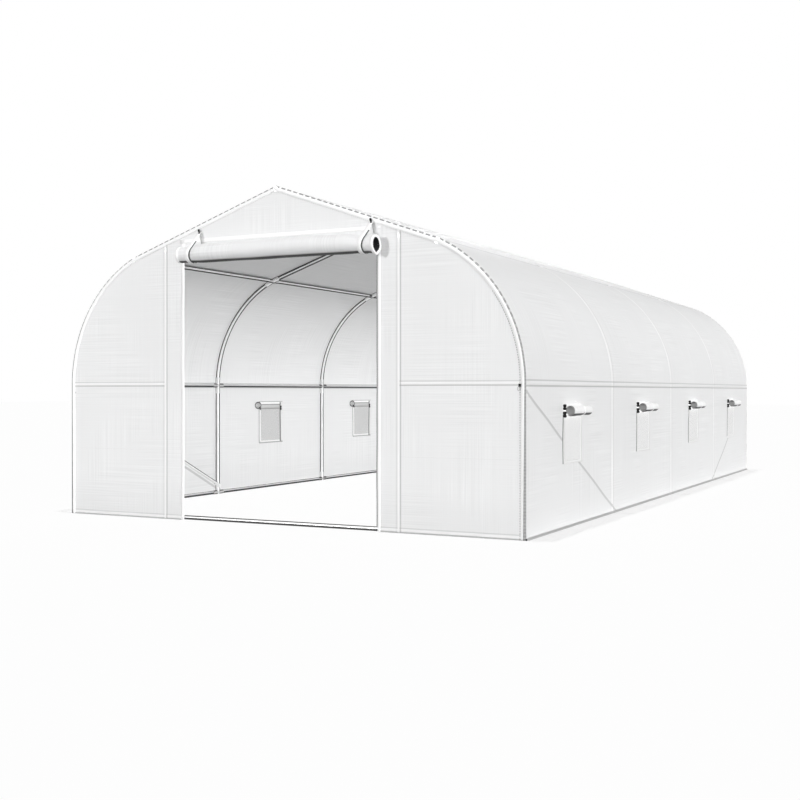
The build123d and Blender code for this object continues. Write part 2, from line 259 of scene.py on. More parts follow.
def sweep(path, outs, profile, closed=False):
    """Section carried along a path. outs, one direction or one a point, is its second axis."""
    path, profile = np.asarray(path, float), np.asarray(profile, float)
    outs = np.broadcast_to(outs, path.shape)
    ahead = np.roll(path, -1, 0) - np.roll(path, 1, 0)
    if not closed:
        ahead[0], ahead[-1] = path[1] - path[0], path[-1] - path[-2]
    side = np.cross(ahead, outs)
    side /= np.linalg.norm(side, axis=1)[:, None]
    points = path[:, None] + side[:, None] * profile[:, :1] + outs[:, None] * profile[:, 1:]
    uv = places(run_of(path)[:, None], profile[:, 0])
    return points, tube_faces(len(path), len(profile), closed), uv


def slab(top, bottom, closed=False):
    """Thin solid between two layers of points, each [rows, columns, 3]."""
    ring = np.concatenate([top, bottom[:, ::-1]], 1)
    across = run_of(top[0])
    uv = places(run_of(top[:, 0])[:, None], np.concatenate([across, across[::-1]]))
    return ring, tube_faces(*ring.shape[:2], closed), uv


def strip(first, second, count=3):
    """Grid between two lines of points."""
    shares = np.linspace(0, 1, count)[None, :, None]
    return first[:, None] * (1 - shares) + second[:, None] * shares


def studs(path, outs, pitch, length, width, height):
    """A row of small blocks along a path, such as stitches or zip teeth."""
    run = run_of(path)
    keep = np.concatenate([[True], np.diff(run) > 1e-9])
    outs = np.broadcast_to(outs, path.shape)[keep]
    run, path = run[keep], path[keep]
    at = np.arange(pitch * 0.5, run[-1], pitch)

    def read(table, where):
        return places(*(np.interp(where, run, column) for column in table.T))

    def unit(table):
        return table / np.linalg.norm(table, axis=1)[:, None]

    centre, out = read(path, at), unit(read(outs, at))
    ahead = unit(read(path, at + 1e-3) - read(path, at - 1e-3))
    side = np.cross(ahead, out)
    corners = []
    for level, size in ((0, 1.0), (height * 0.6, 1.0), (height, 0.6)):
        for a, b in ((-1, -1), (1, -1), (1, 1), (-1, 1)):
            flat = ahead * a * size * length / 2 + side * b * size * width / 2
            corners.append(centre + flat + out * level)
    block = tube_faces(3, 4)
    faces = [[12 * i + j for j in face] for i in range(len(at)) for face in block]
    return np.stack(corners, 1).reshape(-1, 3), faces, places(np.repeat(at, 12), 0.0)


def lathe(start, end, profile):
    """Solid turned round the line from start to end; profile is (share of its length, radius)."""
    sides = 14
    start, axis = np.asarray(start, float), np.subtract(end, start)
    across = np.cross(axis, (0.31, 0.87, 0.39))
    across /= np.linalg.norm(across)
    up = np.cross(axis, across) / np.linalg.norm(axis)
    angles = np.arange(sides) * 2 * pi / sides
    circle = np.cos(angles)[:, None] * across + np.sin(angles)[:, None] * up
    points = np.concatenate([start + axis * share + circle * radius for share, radius in profile])
    uv = places(points[:, 0] + points[:, 1], points[:, 2])
    return points, tube_faces(len(profile), sides), uv


TOGGLE = (
    (0, 0.0015), (0.03, 0.0038), (0.12, 0.0052), (0.3, 0.0055), (0.43, 0.0042), (0.5, 0.0036),
    (0.57, 0.0042), (0.7, 0.0055), (0.88, 0.0052), (0.97, 0.0038), (1, 0.0015),
)


def toggle(start, end, size):
    """Black bar with a waist, size times as thick as the plain one."""
    return lathe(start, end, [(share, radius * size) for share, radius in TOGGLE])


# ------------------------------------------------ materials
class Paint:
    """The nodes of a new material or world, with short ways to add more."""

    def __init__(self, name, owners=None):
        self.owner = (bpy.data.materials if owners is None else owners).new(name)
        self.owner.use_nodes = True
        self.tree = self.owner.node_tree
        self.tree.nodes.clear()

    def add(self, kind, sockets=(), **settings):
        node = self.tree.nodes.new("ShaderNode" + kind)
        for key, value in settings.items():
            setattr(node, key, value)
        for key, value in dict(sockets).items():
            if isinstance(value, bpy.types.NodeSocket):
                self.tree.links.new(value, node.inputs[key])
            else:
                node.inputs[key].default_value = value
        return node

    def math(self, operation, first, second=0.0, third=0.0):
        sockets = {0: first, 1: second, 2: third}
        return self.add("Math", sockets, operation=operation).outputs[0]

    def step(self, value, low, high, start=0.0, end=1.0):
        """Smooth change from start to end as value goes from low to high."""
        sockets = {0: value, 1: low, 2: high, 3: start, 4: end}
        return self.add("MapRange", sockets, interpolation_type="SMOOTHSTEP").outputs[0]

    def value(self, name):
        return self.add("Attribute", attribute_name=name).outputs["Fac"]

    def place(self, kind="UV"):
        return self.add("TexCoord").outputs[kind]

    def part(self, vector, axis):
        return self.add("SeparateXYZ", {0: vector}).outputs[axis]

    def blend(self, factor, first, second, mode="MIX"):
        sockets = {0: factor, 6: first, 7: second}
        return self.add("Mix", sockets, data_type="RGBA", blend_type=mode).outputs[2]

    def noise(self, vector, scale, detail=2.0):
        sockets = {"Vector": vector, "Scale": scale, "Detail": detail}
        return self.add("TexNoise", sockets).outputs["Fac"]

    def stretched(self, vector, x, y):
        return self.add("Mapping", {"Vector": vector, "Scale": (x, y, 1.0)}).outputs[0]

    def bump(self, strength, distance, height):
        sockets = {"Strength": strength, "Distance": distance, "Height": height}
        return self.add("Bump", sockets).outputs[0]

    def face(self, colour, rough, sockets=(), shine=0.5):
        """Principled shader; sockets adds to the common ones or replaces them."""
        plain = {"Base Color": colour, "Roughness": rough, "Specular IOR Level": shine}
        return self.add("BsdfPrincipled", {**plain, **dict(sockets)}).outputs[0]

    def mix(self, factor, first, second):
        return self.add("MixShader", {0: factor, 1: first, 2: second}).outputs[0]

    def seen(self):
        """1 for camera, mirror and see-through rays, 0 for the rays that light things."""
        path = self.add("LightPath")
        total = path.outputs["Is Camera Ray"]
        for key in ("Is Glossy Ray", "Is Transmission Ray"):
            total = self.math("MAXIMUM", total, path.outputs[key])
        return total

    def finish(self, shader, output="OutputMaterial"):
        self.add(output, {"Surface": shader})
        return self.owner


def grey(level, warmth=0.0):
    return (level * (1 + warmth), level, level * (1 - warmth), 1)


CLOTH = grey(0.86, -0.003)
# A whiter cloth, also used as the painted highlight over tubes; and the grey of the painted shade
# and painted shadows on the cover
CLOTH_WHITE_AND_HIGHLIGHT = grey(0.97)
CLOTH_SHADE = grey(0.40)
CLOTH_GLOW = 0.06           # how much of the light passes through
SKIRT_GLOW = 0.75           # and how much more through the skirts on the white ground

# Painted light and shade of the tubes under the cloth, by the signed distance from their axes that
# the mesh carries: half width and strength of the painted highlight band where the cloth bears on
# the tube, width of the painted shade lines beside it, and their strengths on the low and high
# sides.
TUBE_MARKS = {
    "hoop": (0.020, 0.75, 0.016, 0.06, 0.20),
    "rail": (0.0065, 0.80, 0.006, 0.62, 0.42),
    "side": (0.009, 0.0, 0.008, 0.72, 0.55),
    "post": (0.0065, 0.90, 0.008, 0.14, 0.62),
}


def threads(paint, uv, pitch, width):
    """1 on the threads of a square grid, 0 between them."""
    parts = paint.add("SeparateXYZ", {0: uv})
    masks = []
    for axis in (0, 1):
        away = paint.math("PINGPONG", parts.outputs[axis], pitch / 2)
        masks.append(paint.step(away, width * 0.35, width * 0.65, 1.0, 0.0))
    return paint.math("MAXIMUM", *masks)


def streaks(paint, uv):
    """Faint light and dark threads around 1, in patches of one way or the other."""
    total = 1.0
    for x, y, size in ((1.4, 120, 1.9), (120, 1.4, 2.7)):
        thread = paint.math("SUBTRACT", paint.noise(paint.stretched(uv, x, y), 1.0, 3.0), 0.5)
        patch = paint.step(paint.noise(uv, size, 1.0), 0.44, 0.62, 0.03, 0.25)
        total = paint.math("MULTIPLY_ADD", thread, patch, total)
    return total


def show_tubes(paint, colour, patches):
    """Colour of the cloth with the light and shade of the tubes under it painted on."""
    # Skirts on the ground are painted whiter: painted light for the little light that reaches them
    colour = paint.blend(paint.value("skirt"), colour, grey(1.0))
    # The painted highlight over the hoops is weaker in patches
    band_patches = paint.step(patches, 0.36, 0.60, 0.25, 1.0)
    for key, (half, bright, line, low, high) in TUBE_MARKS.items():
        away = paint.value(key)
        gap = paint.math("ABSOLUTE", away)
        strength = paint.step(away, -0.001, 0.001, low, high)
        inner = paint.step(gap, half, half + 0.003)
        outer = paint.step(gap, half + line, half + line + 0.004, 1.0, 0.0)
        edge = paint.math("MULTIPLY", paint.math("MULTIPLY", inner, outer), strength)
        # Painted shade lines beside the tube
        colour = paint.blend(edge, colour, CLOTH_SHADE)
        if bright:
            # Painted highlight where the cloth bears on the tube
            band = paint.step(gap, half * 0.75, half * 1.05, bright, 0.0)
            if key == "hoop":
                band = paint.math("MULTIPLY", band, band_patches)
            colour = paint.blend(band, colour, CLOTH_WHITE_AND_HIGHLIGHT)
    # Painted shadow of the braces, painted shade over the lowest 0.30 m of a wall, and a darker
    # painted shadow line along its foot
    brace = paint.step(paint.math("ABSOLUTE", paint.value("brace")), 0.006, 0.011, 0.55, 0.0)
    foot = paint.value("foot")
    low_wall_shade = paint.step(foot, 0.0, 0.30, 0.14, 0.0)
    for shade in (brace, low_wall_shade, paint.step(foot, 0.011, 0.016, 0.70, 0.0)):
        colour = paint.blend(shade, colour, CLOTH_SHADE)
    return colour


def woven(name, base, tubes=False):
    """Woven, coated cloth. Over a tube it is painted brighter between two soft lines of painted
    shade.
    """
    paint = Paint(name)
    uv = paint.place()
    patches = paint.noise(paint.stretched(uv, 1.3, 1.3), 1.0)
    grid = paint.math("MULTIPLY_ADD", threads(paint, uv, 0.010, 0.002), 0.012, streaks(paint, uv))
    level = paint.math("MULTIPLY_ADD", paint.math("SUBTRACT", patches, 0.5), 0.06, grid)
    tone = paint.add("CombineColor", {0: level, 1: level, 2: level}).outputs[0]
    colour = paint.blend(1.0, base, tone, "MULTIPLY")
    glow = CLOTH_GLOW
    if tubes:
        colour = show_tubes(paint, colour, patches)
        glow = paint.math("MULTIPLY_ADD", paint.value("skirt"), SKIRT_GLOW, glow)
    else:
        # Painted shade inside the innermost turn of a roll and along its underside
        shade = paint.step(paint.value("core"), 0.1, 0.9, 0.0, 0.96)
        colour = paint.blend(shade, colour, grey(0.01))
    # The inner face is painted a little darker: painted shade for the inside of the tunnel
    back = paint.math("MULTIPLY", paint.add("NewGeometry").outputs["Backfacing"], 0.05)
    colour = paint.blend(back, colour, grey(0.0))
    weave = threads(paint, uv, 0.0025, 0.0014)
    bump = paint.bump(0.15, 0.0004, paint.math("MULTIPLY_ADD", paint.noise(uv, 60.0), 0.5, weave))
    rough = paint.math("MULTIPLY_ADD", patches, 0.2, 0.42)
    face = paint.face(colour, rough, {"Normal": bump}, 0.25)
    through = paint.add("BsdfTranslucent", {"Color": colour, "Normal": bump}).outputs[0]
    return paint.finish(paint.mix(glow, face, through))


def netting(name, dark, light, width):
    """Fine insect net, with open holes between its threads."""
    paint = Paint(name)
    uv = paint.place()
    thread = threads(paint, uv, 0.0022, width)
    face = paint.face(paint.blend(paint.noise(uv, 90.0), grey(dark), grey(light)), 0.7)
    clear = paint.add("BsdfTransparent").outputs[0]
    return paint.finish(paint.mix(thread, clear, face))


def zinc(name, rim, side=None, fall=(), dark=0.86, light=1.0, scale=220.0):
    """Galvanised steel: spangled grains and dull patches. It is painted glossier and darker, as a
    painted dark reflection and painted shade, where it turns away by the two amounts in rim, and
    where it faces up, down or either by fall."""
    paint = Paint(name)
    place = paint.place("Object")
    grains = paint.add("TexVoronoi", {"Vector": place, "Scale": scale}).outputs["Color"]
    flake = paint.add("SeparateColor", {0: grains}).outputs[0]
    cloud = paint.noise(place, 7.0, 4.0)
    tone = paint.math("MULTIPLY_ADD", flake, 0.35, paint.math("MULTIPLY", cloud, 0.65))
    colour = paint.blend(tone, grey(dark), grey(light))
    rough = paint.math("MULTIPLY_ADD", cloud, 0.25, 0.22)
    bump = paint.bump(0.1, 0.0003, paint.noise(place, 400.0))

    def metal(colour, metallic, tint):
        sockets = {"Normal": bump, "Metallic": metallic, "Specular Tint": grey(tint)}
        return paint.face(colour, rough, sockets)

    facing = paint.add("LayerWeight", {"Blend": 0.5}).outputs["Facing"]
    painted_dark = paint.step(facing, *rim, 0.0, 0.95)
    if side:
        upward = paint.part(paint.add("NewGeometry").outputs["Normal"], 2)
        if side == "down":
            upward = paint.math("MULTIPLY", upward, -1.0)
        elif side == "both":
            upward = paint.math("ABSOLUTE", upward)
        painted_dark = paint.math("MAXIMUM", painted_dark, paint.step(upward, *fall, 0.0, 0.95))
    return paint.finish(paint.mix(painted_dark, metal(colour, 0.75, 0.3), metal(grey(0.05), 0.9, 0.04)))


def dense(name, dark, light, rough, weave=None, shine=0.5):
    """Tape, webbing, plastic or thread: two tones of one colour over fine grain."""
    paint = Paint(name)
    height = grain = paint.noise(paint.place("Object"), 160.0, 3.0)
    if weave:
        ribs = threads(paint, paint.place(), weave, weave * 0.5)
        height = paint.math("MULTIPLY_ADD", ribs, 0.8, grain)
        grain = paint.math("MULTIPLY_ADD", ribs, 0.4, paint.math("MULTIPLY", grain, 0.6))
    colour = paint.blend(grain, grey(dark), grey(light))
    bump = paint.bump(0.3, 0.0004, height)
    return paint.finish(paint.face(colour, rough, {"Normal": bump}, shine))


def binding(name, dark, light, rough=0.7, shine=0.2):
    """Ribbed edge tape; on the roof its black thread comes and goes."""
    paint = Paint(name)
    uv = paint.place()
    along = paint.part(uv, 0)
    ribs = paint.step(paint.math("PINGPONG", along, 0.0036), 0.0008, 0.0028)
    gaps = paint.step(paint.math("PINGPONG", along, 0.021), 0.0125, 0.0150)
    gaps = paint.math("MULTIPLY", gaps, paint.value("lean"))
    fine = paint.math("MULTIPLY", paint.noise(uv, 160.0, 3.0), 0.25)
    colour = paint.blend(paint.math("MULTIPLY_ADD", ribs, 0.75, fine), grey(dark), grey(light))
    colour = paint.blend(gaps, colour, grey(0.92))
    bump = paint.bump(0.3, 0.0004, ribs)
    return paint.finish(paint.face(colour, rough, {"Normal": bump}, shine))


COVER_PAINT = woven("cover_cloth", CLOTH, tubes=True)
CURTAIN_PAINT = woven("curtain_cloth", CLOTH)
FLAP_PAINT = woven("flap_cloth", CLOTH_WHITE_AND_HIGHLIGHT)
NET_PAINT = netting("window_net", 0.80, 0.88, 0.0018)
# Grey inner face of the window nets: painted shade inside the windows
NET_INNER_SHADE_PAINT = netting("window_net_inner_shade", 0.50, 0.60, 0.0015)
# White tape of the hems, also the painted highlight beside the binding round each end hoop
HEM_AND_HIGHLIGHT_PAINT = dense("hem_tape_and_highlight", 0.94, 1.0, 0.6, weave=0.003)
BINDING_PAINT = binding("edge_binding", 0.10, 0.55)
TRIM_PAINT = dense("window_trim", 0.82, 0.90, 0.7, weave=0.003)
# Grey of the ribs of painted shade inside along the top of a window
RIB_SHADE_PAINT = dense("header_rib_shade", 0.30, 0.42, 0.8)
THREAD_PAINT = dense("white_thread", 0.70, 0.82, 0.8)
CORD_PAINT = dense("toggle_cord", 0.36, 0.52, 0.8, weave=0.002)
ZIP_PAINT = dense("zip_tape", 0.17, 0.30, 0.6, weave=0.003)
# Grey of the painted shade lines inside round a window
INNER_LINE_SHADE_PAINT = dense("window_piping", 0.36, 0.50, 0.6, weave=0.003)
# Grey band of painted shade inside along the top of a window
HEADER_SHADE_PAINT = dense("window_header_shade", 0.50, 0.64, 0.6, weave=0.003)
# Near black: the painted shadow beside each door strap, and the outer ring of each coiled window
# tie
STRAP_SHADOW_AND_DARK_TAPE_PAINT = dense("strap_shadow_and_dark_tape", 0.05, 0.12, 0.7, weave=0.002, shine=0.2)
STRAP_PAINT = dense("strap_webbing", 0.95, 1.0, 0.65, weave=0.0024)
BLACK_PAINT = dense("black_plastic", 0.008, 0.02, 0.5, shine=0.15)
TUBE_PAINT = zinc("galvanised_tube", (0.12, 0.19))
SOCKET_PAINT = zinc("galvanised_socket", (0.42, 0.58), dark=0.72, light=0.90, scale=160.0)
# Copies of the galvanised steel, one for each kind of rail, each with painted shade on the sides
# given by fall
ROOF_PAINT = zinc("galvanised_purlin", (0.80, 0.95), "both", (0.36, 0.56))
WAIST_PAINT = zinc("galvanised_waist_rail", (0.80, 0.95), "down", (0.05, 0.25))
BASE_PAINT = zinc("galvanised_base_rail", (0.60, 0.75), "down", (-0.3, 0.0))
CROSS_PAINT = zinc("galvanised_cross_rail", (0.24, 0.38), "down", (-0.2, 0.0))
RAIL_PAINTS = {
    "left_purlin": ROOF_PAINT, "right_purlin": ROOF_PAINT, "ridge_rail": ROOF_PAINT,
    "left_waist_rail": WAIST_PAINT, "right_waist_rail": WAIST_PAINT,
    "left_base_rail": BASE_PAINT, "right_base_rail": BASE_PAINT,
    "end_base_rails": CROSS_PAINT, "end_waist_rails": CROSS_PAINT,
    "diagonal_braces": zinc("galvanised_brace", (0.80, 0.95), "up", (0.05, 0.25)),
}


# ------------------------------------------------ camera and light
CAMERA_PLACE = (3.6374, -8.6914, 0.769)
CAMERA_TURN = radians(26.782)
CAMERA_LENS = 52.415
CAMERA_SHIFT = -0.0110
AMBIENT = 0.12              # strength of the white studio, except where it is seen
FLOOR_SIZE = 60.0
FLOOR_Z = -0.0005


def placed(name, data, place=(0, 0, 0), rotation=(0, 0, 0)):
    thing = bpy.data.objects.new(name, data)
    thing.location, thing.rotation_euler = place, rotation
    bpy.context.scene.collection.objects.link(thing)
    return thing


def add_camera():
    data = bpy.data.cameras.new("camera")
    data.lens, data.shift_y = CAMERA_LENS, CAMERA_SHIFT
    camera = placed("camera", data, CAMERA_PLACE, (pi / 2, 0, CAMERA_TURN))
    bpy.context.scene.camera = camera


def add_world():
    paint = Paint("studio", bpy.data.worlds)
    light, white = (
        paint.add("Background", {"Color": grey(1), "Strength": strength}).outputs[0]
        for strength in (AMBIENT, 1.0)
    )
    bpy.context.scene.world = paint.finish(paint.mix(paint.seen(), light, white), "OutputWorld")


def add_sun(name, azimuth, elevation, strength, spread, shadow=True):
    """Soft sun; azimuth 0 shines along +Y, and 90 along -X."""
    data = bpy.data.lights.new(name, "SUN")
    data.energy, data.angle, data.use_shadow = strength, radians(spread), shadow
    placed(name, data, rotation=(radians(90 - elevation), 0, radians(azimuth)))


def add_floor():
    """White ground that throws back less light than it shows."""
    paint = Paint("floor")
    pale = paint.add("BsdfDiffuse", {"Color": grey(0.82)}).outputs[0]
    white = paint.add("Emission", {"Strength": 1.0}).outputs[0]
    dull = paint.add("BsdfDiffuse", {"Color": grey(0.42)}).outputs[0]
    mesh = bpy.data.meshes.new("floor")
    corners = ((-1, -1), (1, -1), (1, 1), (-1, 1))
    points = [(x * FLOOR_SIZE, y * FLOOR_SIZE, FLOOR_Z) for x, y in corners]
    mesh.from_pydata(points, [], [(0, 1, 2, 3)])
    shader = paint.mix(paint.seen(), dull, paint.mix(0.97, pale, white))
    mesh.materials.append(paint.finish(shader))
    placed("floor", mesh)


add_camera()
add_world()
add_floor()
add_sun("key", -20, 8, 1.31, 6)
add_sun("front", 4, 5, 0.66, 60)
add_sun("fill", 70, 18, 2.50, 30, shadow=False)
add_sun("top", 0, 82, 0.32, 60, shadow=False)
add_sun("back", 208, 4, 1.8, 30)
bpy.context.scene.view_settings.view_transform = "Standard"


# ------------------------------------------------ section of the tunnel
def half_section():
    """Stations from the ground up one side to the ridge: x, z, angle of the normal, length."""
    wall = stops(FOOT_Z, WAIST_Z, [BASE_Z, WAIST_Z], [HOLE_LOW, HOLE_HIGH])
    rows = [(SIDE_X, s, 0.0, s) for s in wall]
    bend = BEND_R * BEND_ANGLE
    for s in stops(0, bend, [0, bend])[1:]:
        turn = s / BEND_R
        x, z = BEND_X + BEND_R * cos(turn), WAIST_Z + BEND_R * sin(turn)
        rows.append((x, z, turn, WAIST_Z + s))
    run = WAIST_Z + bend
    lean = pi / 2 - SLOPE
    kink = lean - BEND_ANGLE
    for part in (0.5, 1.0):
        turn = kink * part
        rows.append((PURLIN_X, PURLIN_Z, BEND_ANGLE + turn, run + HOOP_REST * turn))
    run += HOOP_REST * kink
    for s in stops(0, RAFTER, [0, RAFTER])[1:]:
        share = s / RAFTER
        x, z = PURLIN_X * (1 - share), PURLIN_Z + (RIDGE_Z - PURLIN_Z) * share
        rows.append((x, z, lean, run + s))
    run += RAFTER
    for part in (0.25, 0.5, 0.75, 1.0):
        turn = SLOPE * part
        rows.append((0.0, RIDGE_Z, lean + turn, run + HOOP_REST * turn))
    return np.array(rows)


SECTION = half_section()
RIDGE_S = SECTION[-1, 3]
PURLIN_S = WAIST_Z + BEND_R * BEND_ANGLE
RAIL_STATIONS = [BASE_Z, WAIST_Z, PURLIN_S, RIDGE_S]


# ------------------------------------------------ cover
def cover_columns():
    holes = [y + side * HOLE_HALF for y in WINDOW_YS for side in (-1, 1)]
    inner = stops(-END_Y, END_Y, HOOP_YS, holes)
    past = [END_Y + HOOP_REST * sin(SEAM_ANGLE * part) for part in (0.33, 0.67, 1.0)]
    return np.array([-y for y in past[::-1]] + list(inner) + past)


def over_hoops(s, y, side):
    """Height of the cover outside the tubes' axes; side is 1 on the right, -1 on the left."""
    rail = np.abs(nearest(s, RAIL_STATIONS))
    hoop = np.abs(nearest(y, HOOP_YS))
    bays = np.clip((y + END_Y) / BAY, 0, len(HOOPS) - 1)
    dip = DIP * np.sin(pi * (bays % 1.0)) * np.clip((rail - 0.03) / 0.3, 0, 1)
    ripples = waves(s, y, 0.42, 11 + (side < 0))
    return cloth_height(np.abs(y) - END_Y, hoop, rail, hoop, ripples, dip)


def skirt_rows(y, side):
    """Cloth from its edge on the ground to the foot of the wall, as rows of x, z and length."""
    foot = SIDE_X + over_hoops(np.full_like(y, SECTION[0, 3]), y, side)
    rows = []
    edge = SKIRT_X - 0.002 + 0.003 * waves(y, 0 * y, 0.5, 31 + (side < 0))
    width = SKIRT_X - SIDE_X - RAIL_REST - ROUND
    for share in np.linspace(1, 0, 11)[:-1]:
        x = foot + ROUND + (edge - foot - ROUND) * share
        lift = 0.0007 * (1 + waves(x, y, 0.16, 41 + (side < 0))) * share
        curl = 0.001 * max(0, share - 0.8) / 0.2 * (1 + waves(y, 0 * y, 0.3, 51 + (side < 0)))
        rows.append((x, np.maximum(lift + curl, 0) + 0.0006, -width * share - ROUND * 1.2))
    for turn in (90, 60, 30):
        x = foot + ROUND - ROUND * sin(radians(90 - turn))
        z = 0.0006 + ROUND - ROUND * cos(radians(90 - turn))
        rows.append((x, z, -ROUND * 1.2 * turn / 90))
    return rows


def half_cover(y, side):
    """Points of one side of the cover from the ground to the ridge, and their lengths."""
    points, lengths = [], []
    for x, z, s in skirt_rows(y, side):
        points.append(places(x, y, z))
        lengths.append(s)
    for x, z, angle, s in SECTION:
        height = over_hoops(np.full_like(y, s), y, side)
        points.append(places(x + height * cos(angle), y, z + height * sin(angle)))
        lengths.append(s)
    return np.array(points), np.array(lengths)


def marks(like, **own):
    """Values that paint the light and shade of the tubes on cloth: its own, and far off for those
    it lacks.
    """
    far = np.ones_like(like)
    return {"hoop": far, "side": far, "post": far, "brace": far, "skirt": 0 * far, **own}


def cover_marks(length, across):
    """Painted light and shade of the tubes on the cover, from the length round it on its own side.
    A brace shows as a painted shadow as high as the waist at the front and as the windows at the
    back; the skirt is painted whiter and the foot of the wall darker."""
    wall = (length > 0) & (length < np.where(across < 0, WAIST_Z, NET_LOW))
    brace = (END_Y - np.abs(across)) * sin(BRACE_FALL) + (length - BRACE_TOP) * cos(BRACE_FALL)
    return marks(
        length,
        hoop=np.where(np.abs(across) < END_Y - 0.05, nearest(across, HOOP_YS), 1.0),
        rail=nearest(length, [PURLIN_S]),
        side=nearest(length, [WAIST_Z, RIDGE_S + 0.010]),
        skirt=length < -0.001,
        brace=np.where(wall, brace, 1.0),
        foot=np.where(length < -0.018, 1.0, np.abs(length)),
    )


def build_cover():
    y = cover_columns()
    right, lengths = half_cover(y, 1)
    left, _ = half_cover(y, -1)
    left[:, :, 0] *= -1
    ridge_row = (right[-1] + left[-1]) / 2
    points = np.concatenate([right[:-1], ridge_row[None], left[-2::-1]])
    own = np.concatenate([lengths, lengths[-2::-1]])
    along = np.concatenate([lengths, 2 * RIDGE_S - lengths[-2::-1]])
    own, across = np.broadcast_arrays(own[:, None], y)
    faces = grid_faces(len(points), len(y))
    centre = points.reshape(-1, 3)[faces].mean(1)
    x, z = np.abs(centre[:, 0]), centre[:, 2]
    beside = np.abs(nearest(centre[:, 1], WINDOW_YS)) < HOLE_HALF
    hole = beside & (z > HOLE_LOW) & (z < HOLE_HIGH) & (x > PURLIN_X)
    part = (points, faces[~hole], places(along[:, None], y))
    cover = make("cover", part, COVER_PAINT, values=cover_marks(own, across))
    for side in ("left", "right"):
        parts = ("wall_cover", "shoulder_cover", "roof_cover", "skirt")
        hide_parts(*(f"{side}_{part}" for part in parts))
    return cover, (along[-1] - along[0], y[-1] - y[0])


# ------------------------------------------------ end walls
ARCH_INSIDE = 0.036         # width of the fine rows of points along the inside of the arch
ARCH_ROWS = 9
SOLE_Z = 0.016              # middle of the painted highlight band along the foot of an end wall


def is_fan(row):
    """True for the extra stations that only turn the normal, at the purlin and the ridge."""
    at_purlin = abs(row[0] - PURLIN_X) < 1e-6 and row[2] > BEND_ANGLE + 1e-6
    return abs(row[0]) < 1e-6 or at_purlin


def arch_line(offset, spacing):
    """Points along the hoop from the right foot over the ridge to the left, moved outwards."""
    rows = [SECTION[0] * (1, 0, 1, 0)]
    for row in SECTION[1:]:
        fan = hypot(row[0] - rows[-1][0], row[1] - rows[-1][1]) < 1e-6
        if fan or row[3] - rows[-1][3] > spacing:
            rows.append(row)
    rows = np.array([row for row in rows if not (offset < 0 and is_fan(row))])
    x, z, angle = rows[:, 0], rows[:, 1], rows[:, 2]
    points = places(x + offset * np.cos(angle), z + offset * np.sin(angle))
    mirror = points[::-1] * (-1, 1)
    if np.allclose(points[-1], mirror[0]):
        mirror = mirror[1:]
    return np.vstack([points, mirror])


def arch_distance(x, z):
    """Distance outside the axis of the hoop, negative inside."""
    x = np.abs(x)
    over, up = x - BEND_X, z - WAIST_Z
    bend = np.sqrt(over * over + up * up) - BEND_R
    roof = (x - PURLIN_X) * sin(SLOPE) + (z - PURLIN_Z) * cos(SLOPE)
    in_bend = (np.arctan2(up, over) < BEND_ANGLE) & (over > 0)
    return np.where(z < WAIST_Z, x - SIDE_X, np.where(in_bend, bend, roof))


def end_height(x, z, turn):
    """How far the end cloth stands outside the plane of the end hoop; turn is that of ENDS."""
    away, aside = arch_distance(x, z), np.abs(x)
    waist = np.where(aside > POST_X, np.abs(z - WAIST_Z), 1.0)
    rail = np.minimum(np.minimum(np.abs(aside - POST_X), waist), np.abs(z - BASE_Z))
    ripples = waves(x, z, 0.40, 71 + (turn < 0))
    return cloth_height(away, np.abs(away), rail, -away, ripples)


def beside_doorway(x, z):
    return not (abs(x) < DOOR_HALF + 0.002 and z < HEAD_Z + 0.002)


def end_wall_mesh(turn):
    """Cloth of one end: both panels and the gable in one, with the doorway cut out."""
    outer = HOOP_REST * cos(SEAM_ANGLE)
    arch = arch_line(outer, 0.02)
    arch[[0, -1], 1] = 0.0
    edge_z = stops(0, HEAD_Z, [BASE_Z, WAIST_Z])
    edge_x = stops(-DOOR_HALF, DOOR_HALF, [])[1:-1]
    ground = stops(DOOR_HALF, SIDE_X + outer, [POST_X, SIDE_X])[1:-1]
    sides = (-ground[::-1], 0.0), (-DOOR_HALF, edge_z), (edge_x, HEAD_Z), (DOOR_HALF, edge_z[::-1])
    outline = np.vstack([arch, *(places(*side) for side in sides), places(ground, 0.0)])
    offsets = np.linspace(outer, -ARCH_INSIDE, ARCH_ROWS + 1)[1:]
    inner = [arch_line(offset, 0.007) for offset in offsets]
    posts = [-SIDE_X, -POST_X, POST_X, SIDE_X]
    xs = stops(-SIDE_X, SIDE_X, posts, [-DOOR_HALF, DOOR_HALF], reach=0.06)
    zs = stops(0, RIDGE_Z, [BASE_Z, WAIST_Z], [HEAD_Z])
    grid = places(xs[:, None], zs).reshape(-1, 2)
    inner.append(grid[arch_distance(grid[:, 0], grid[:, 1]) < -ARCH_INSIDE - 0.004])
    inner = [p for p in np.vstack(inner) if p[1] > 0.003 and beside_doorway(*p)]
    points = [tuple(p) for p in (*outline, *inner)]
    result = delaunay_2d_cdt(points, [], [list(range(len(outline)))], 1, 1e-6)
    flat = np.array([tuple(p) for p in result[0]])
    x, z = flat[:, 0], flat[:, 1]
    # rail, post and foot place the painted light and shade of the tubes, and the painted shadow
    # along the foot
    rail = np.where(np.abs(x) > POST_X, nearest(z, [SOLE_Z, WAIST_Z]), z - SOLE_Z)
    values = marks(x, rail=rail, post=nearest(x, [-POST_X, POST_X]), foot=z + 0.007)
    return (places(x, -END_Y - end_height(x, z, turn), z), result[2], flat), values


def end_area():
    """Flat area of an end wall's cloth."""
    line = arch_line(0.0, 0.0)
    x, z = line[:, 0], line[:, 1]
    return abs(np.sum((x[1:] - x[:-1]) * (z[1:] + z[:-1]) / 2)) - 2 * DOOR_HALF * HEAD_Z


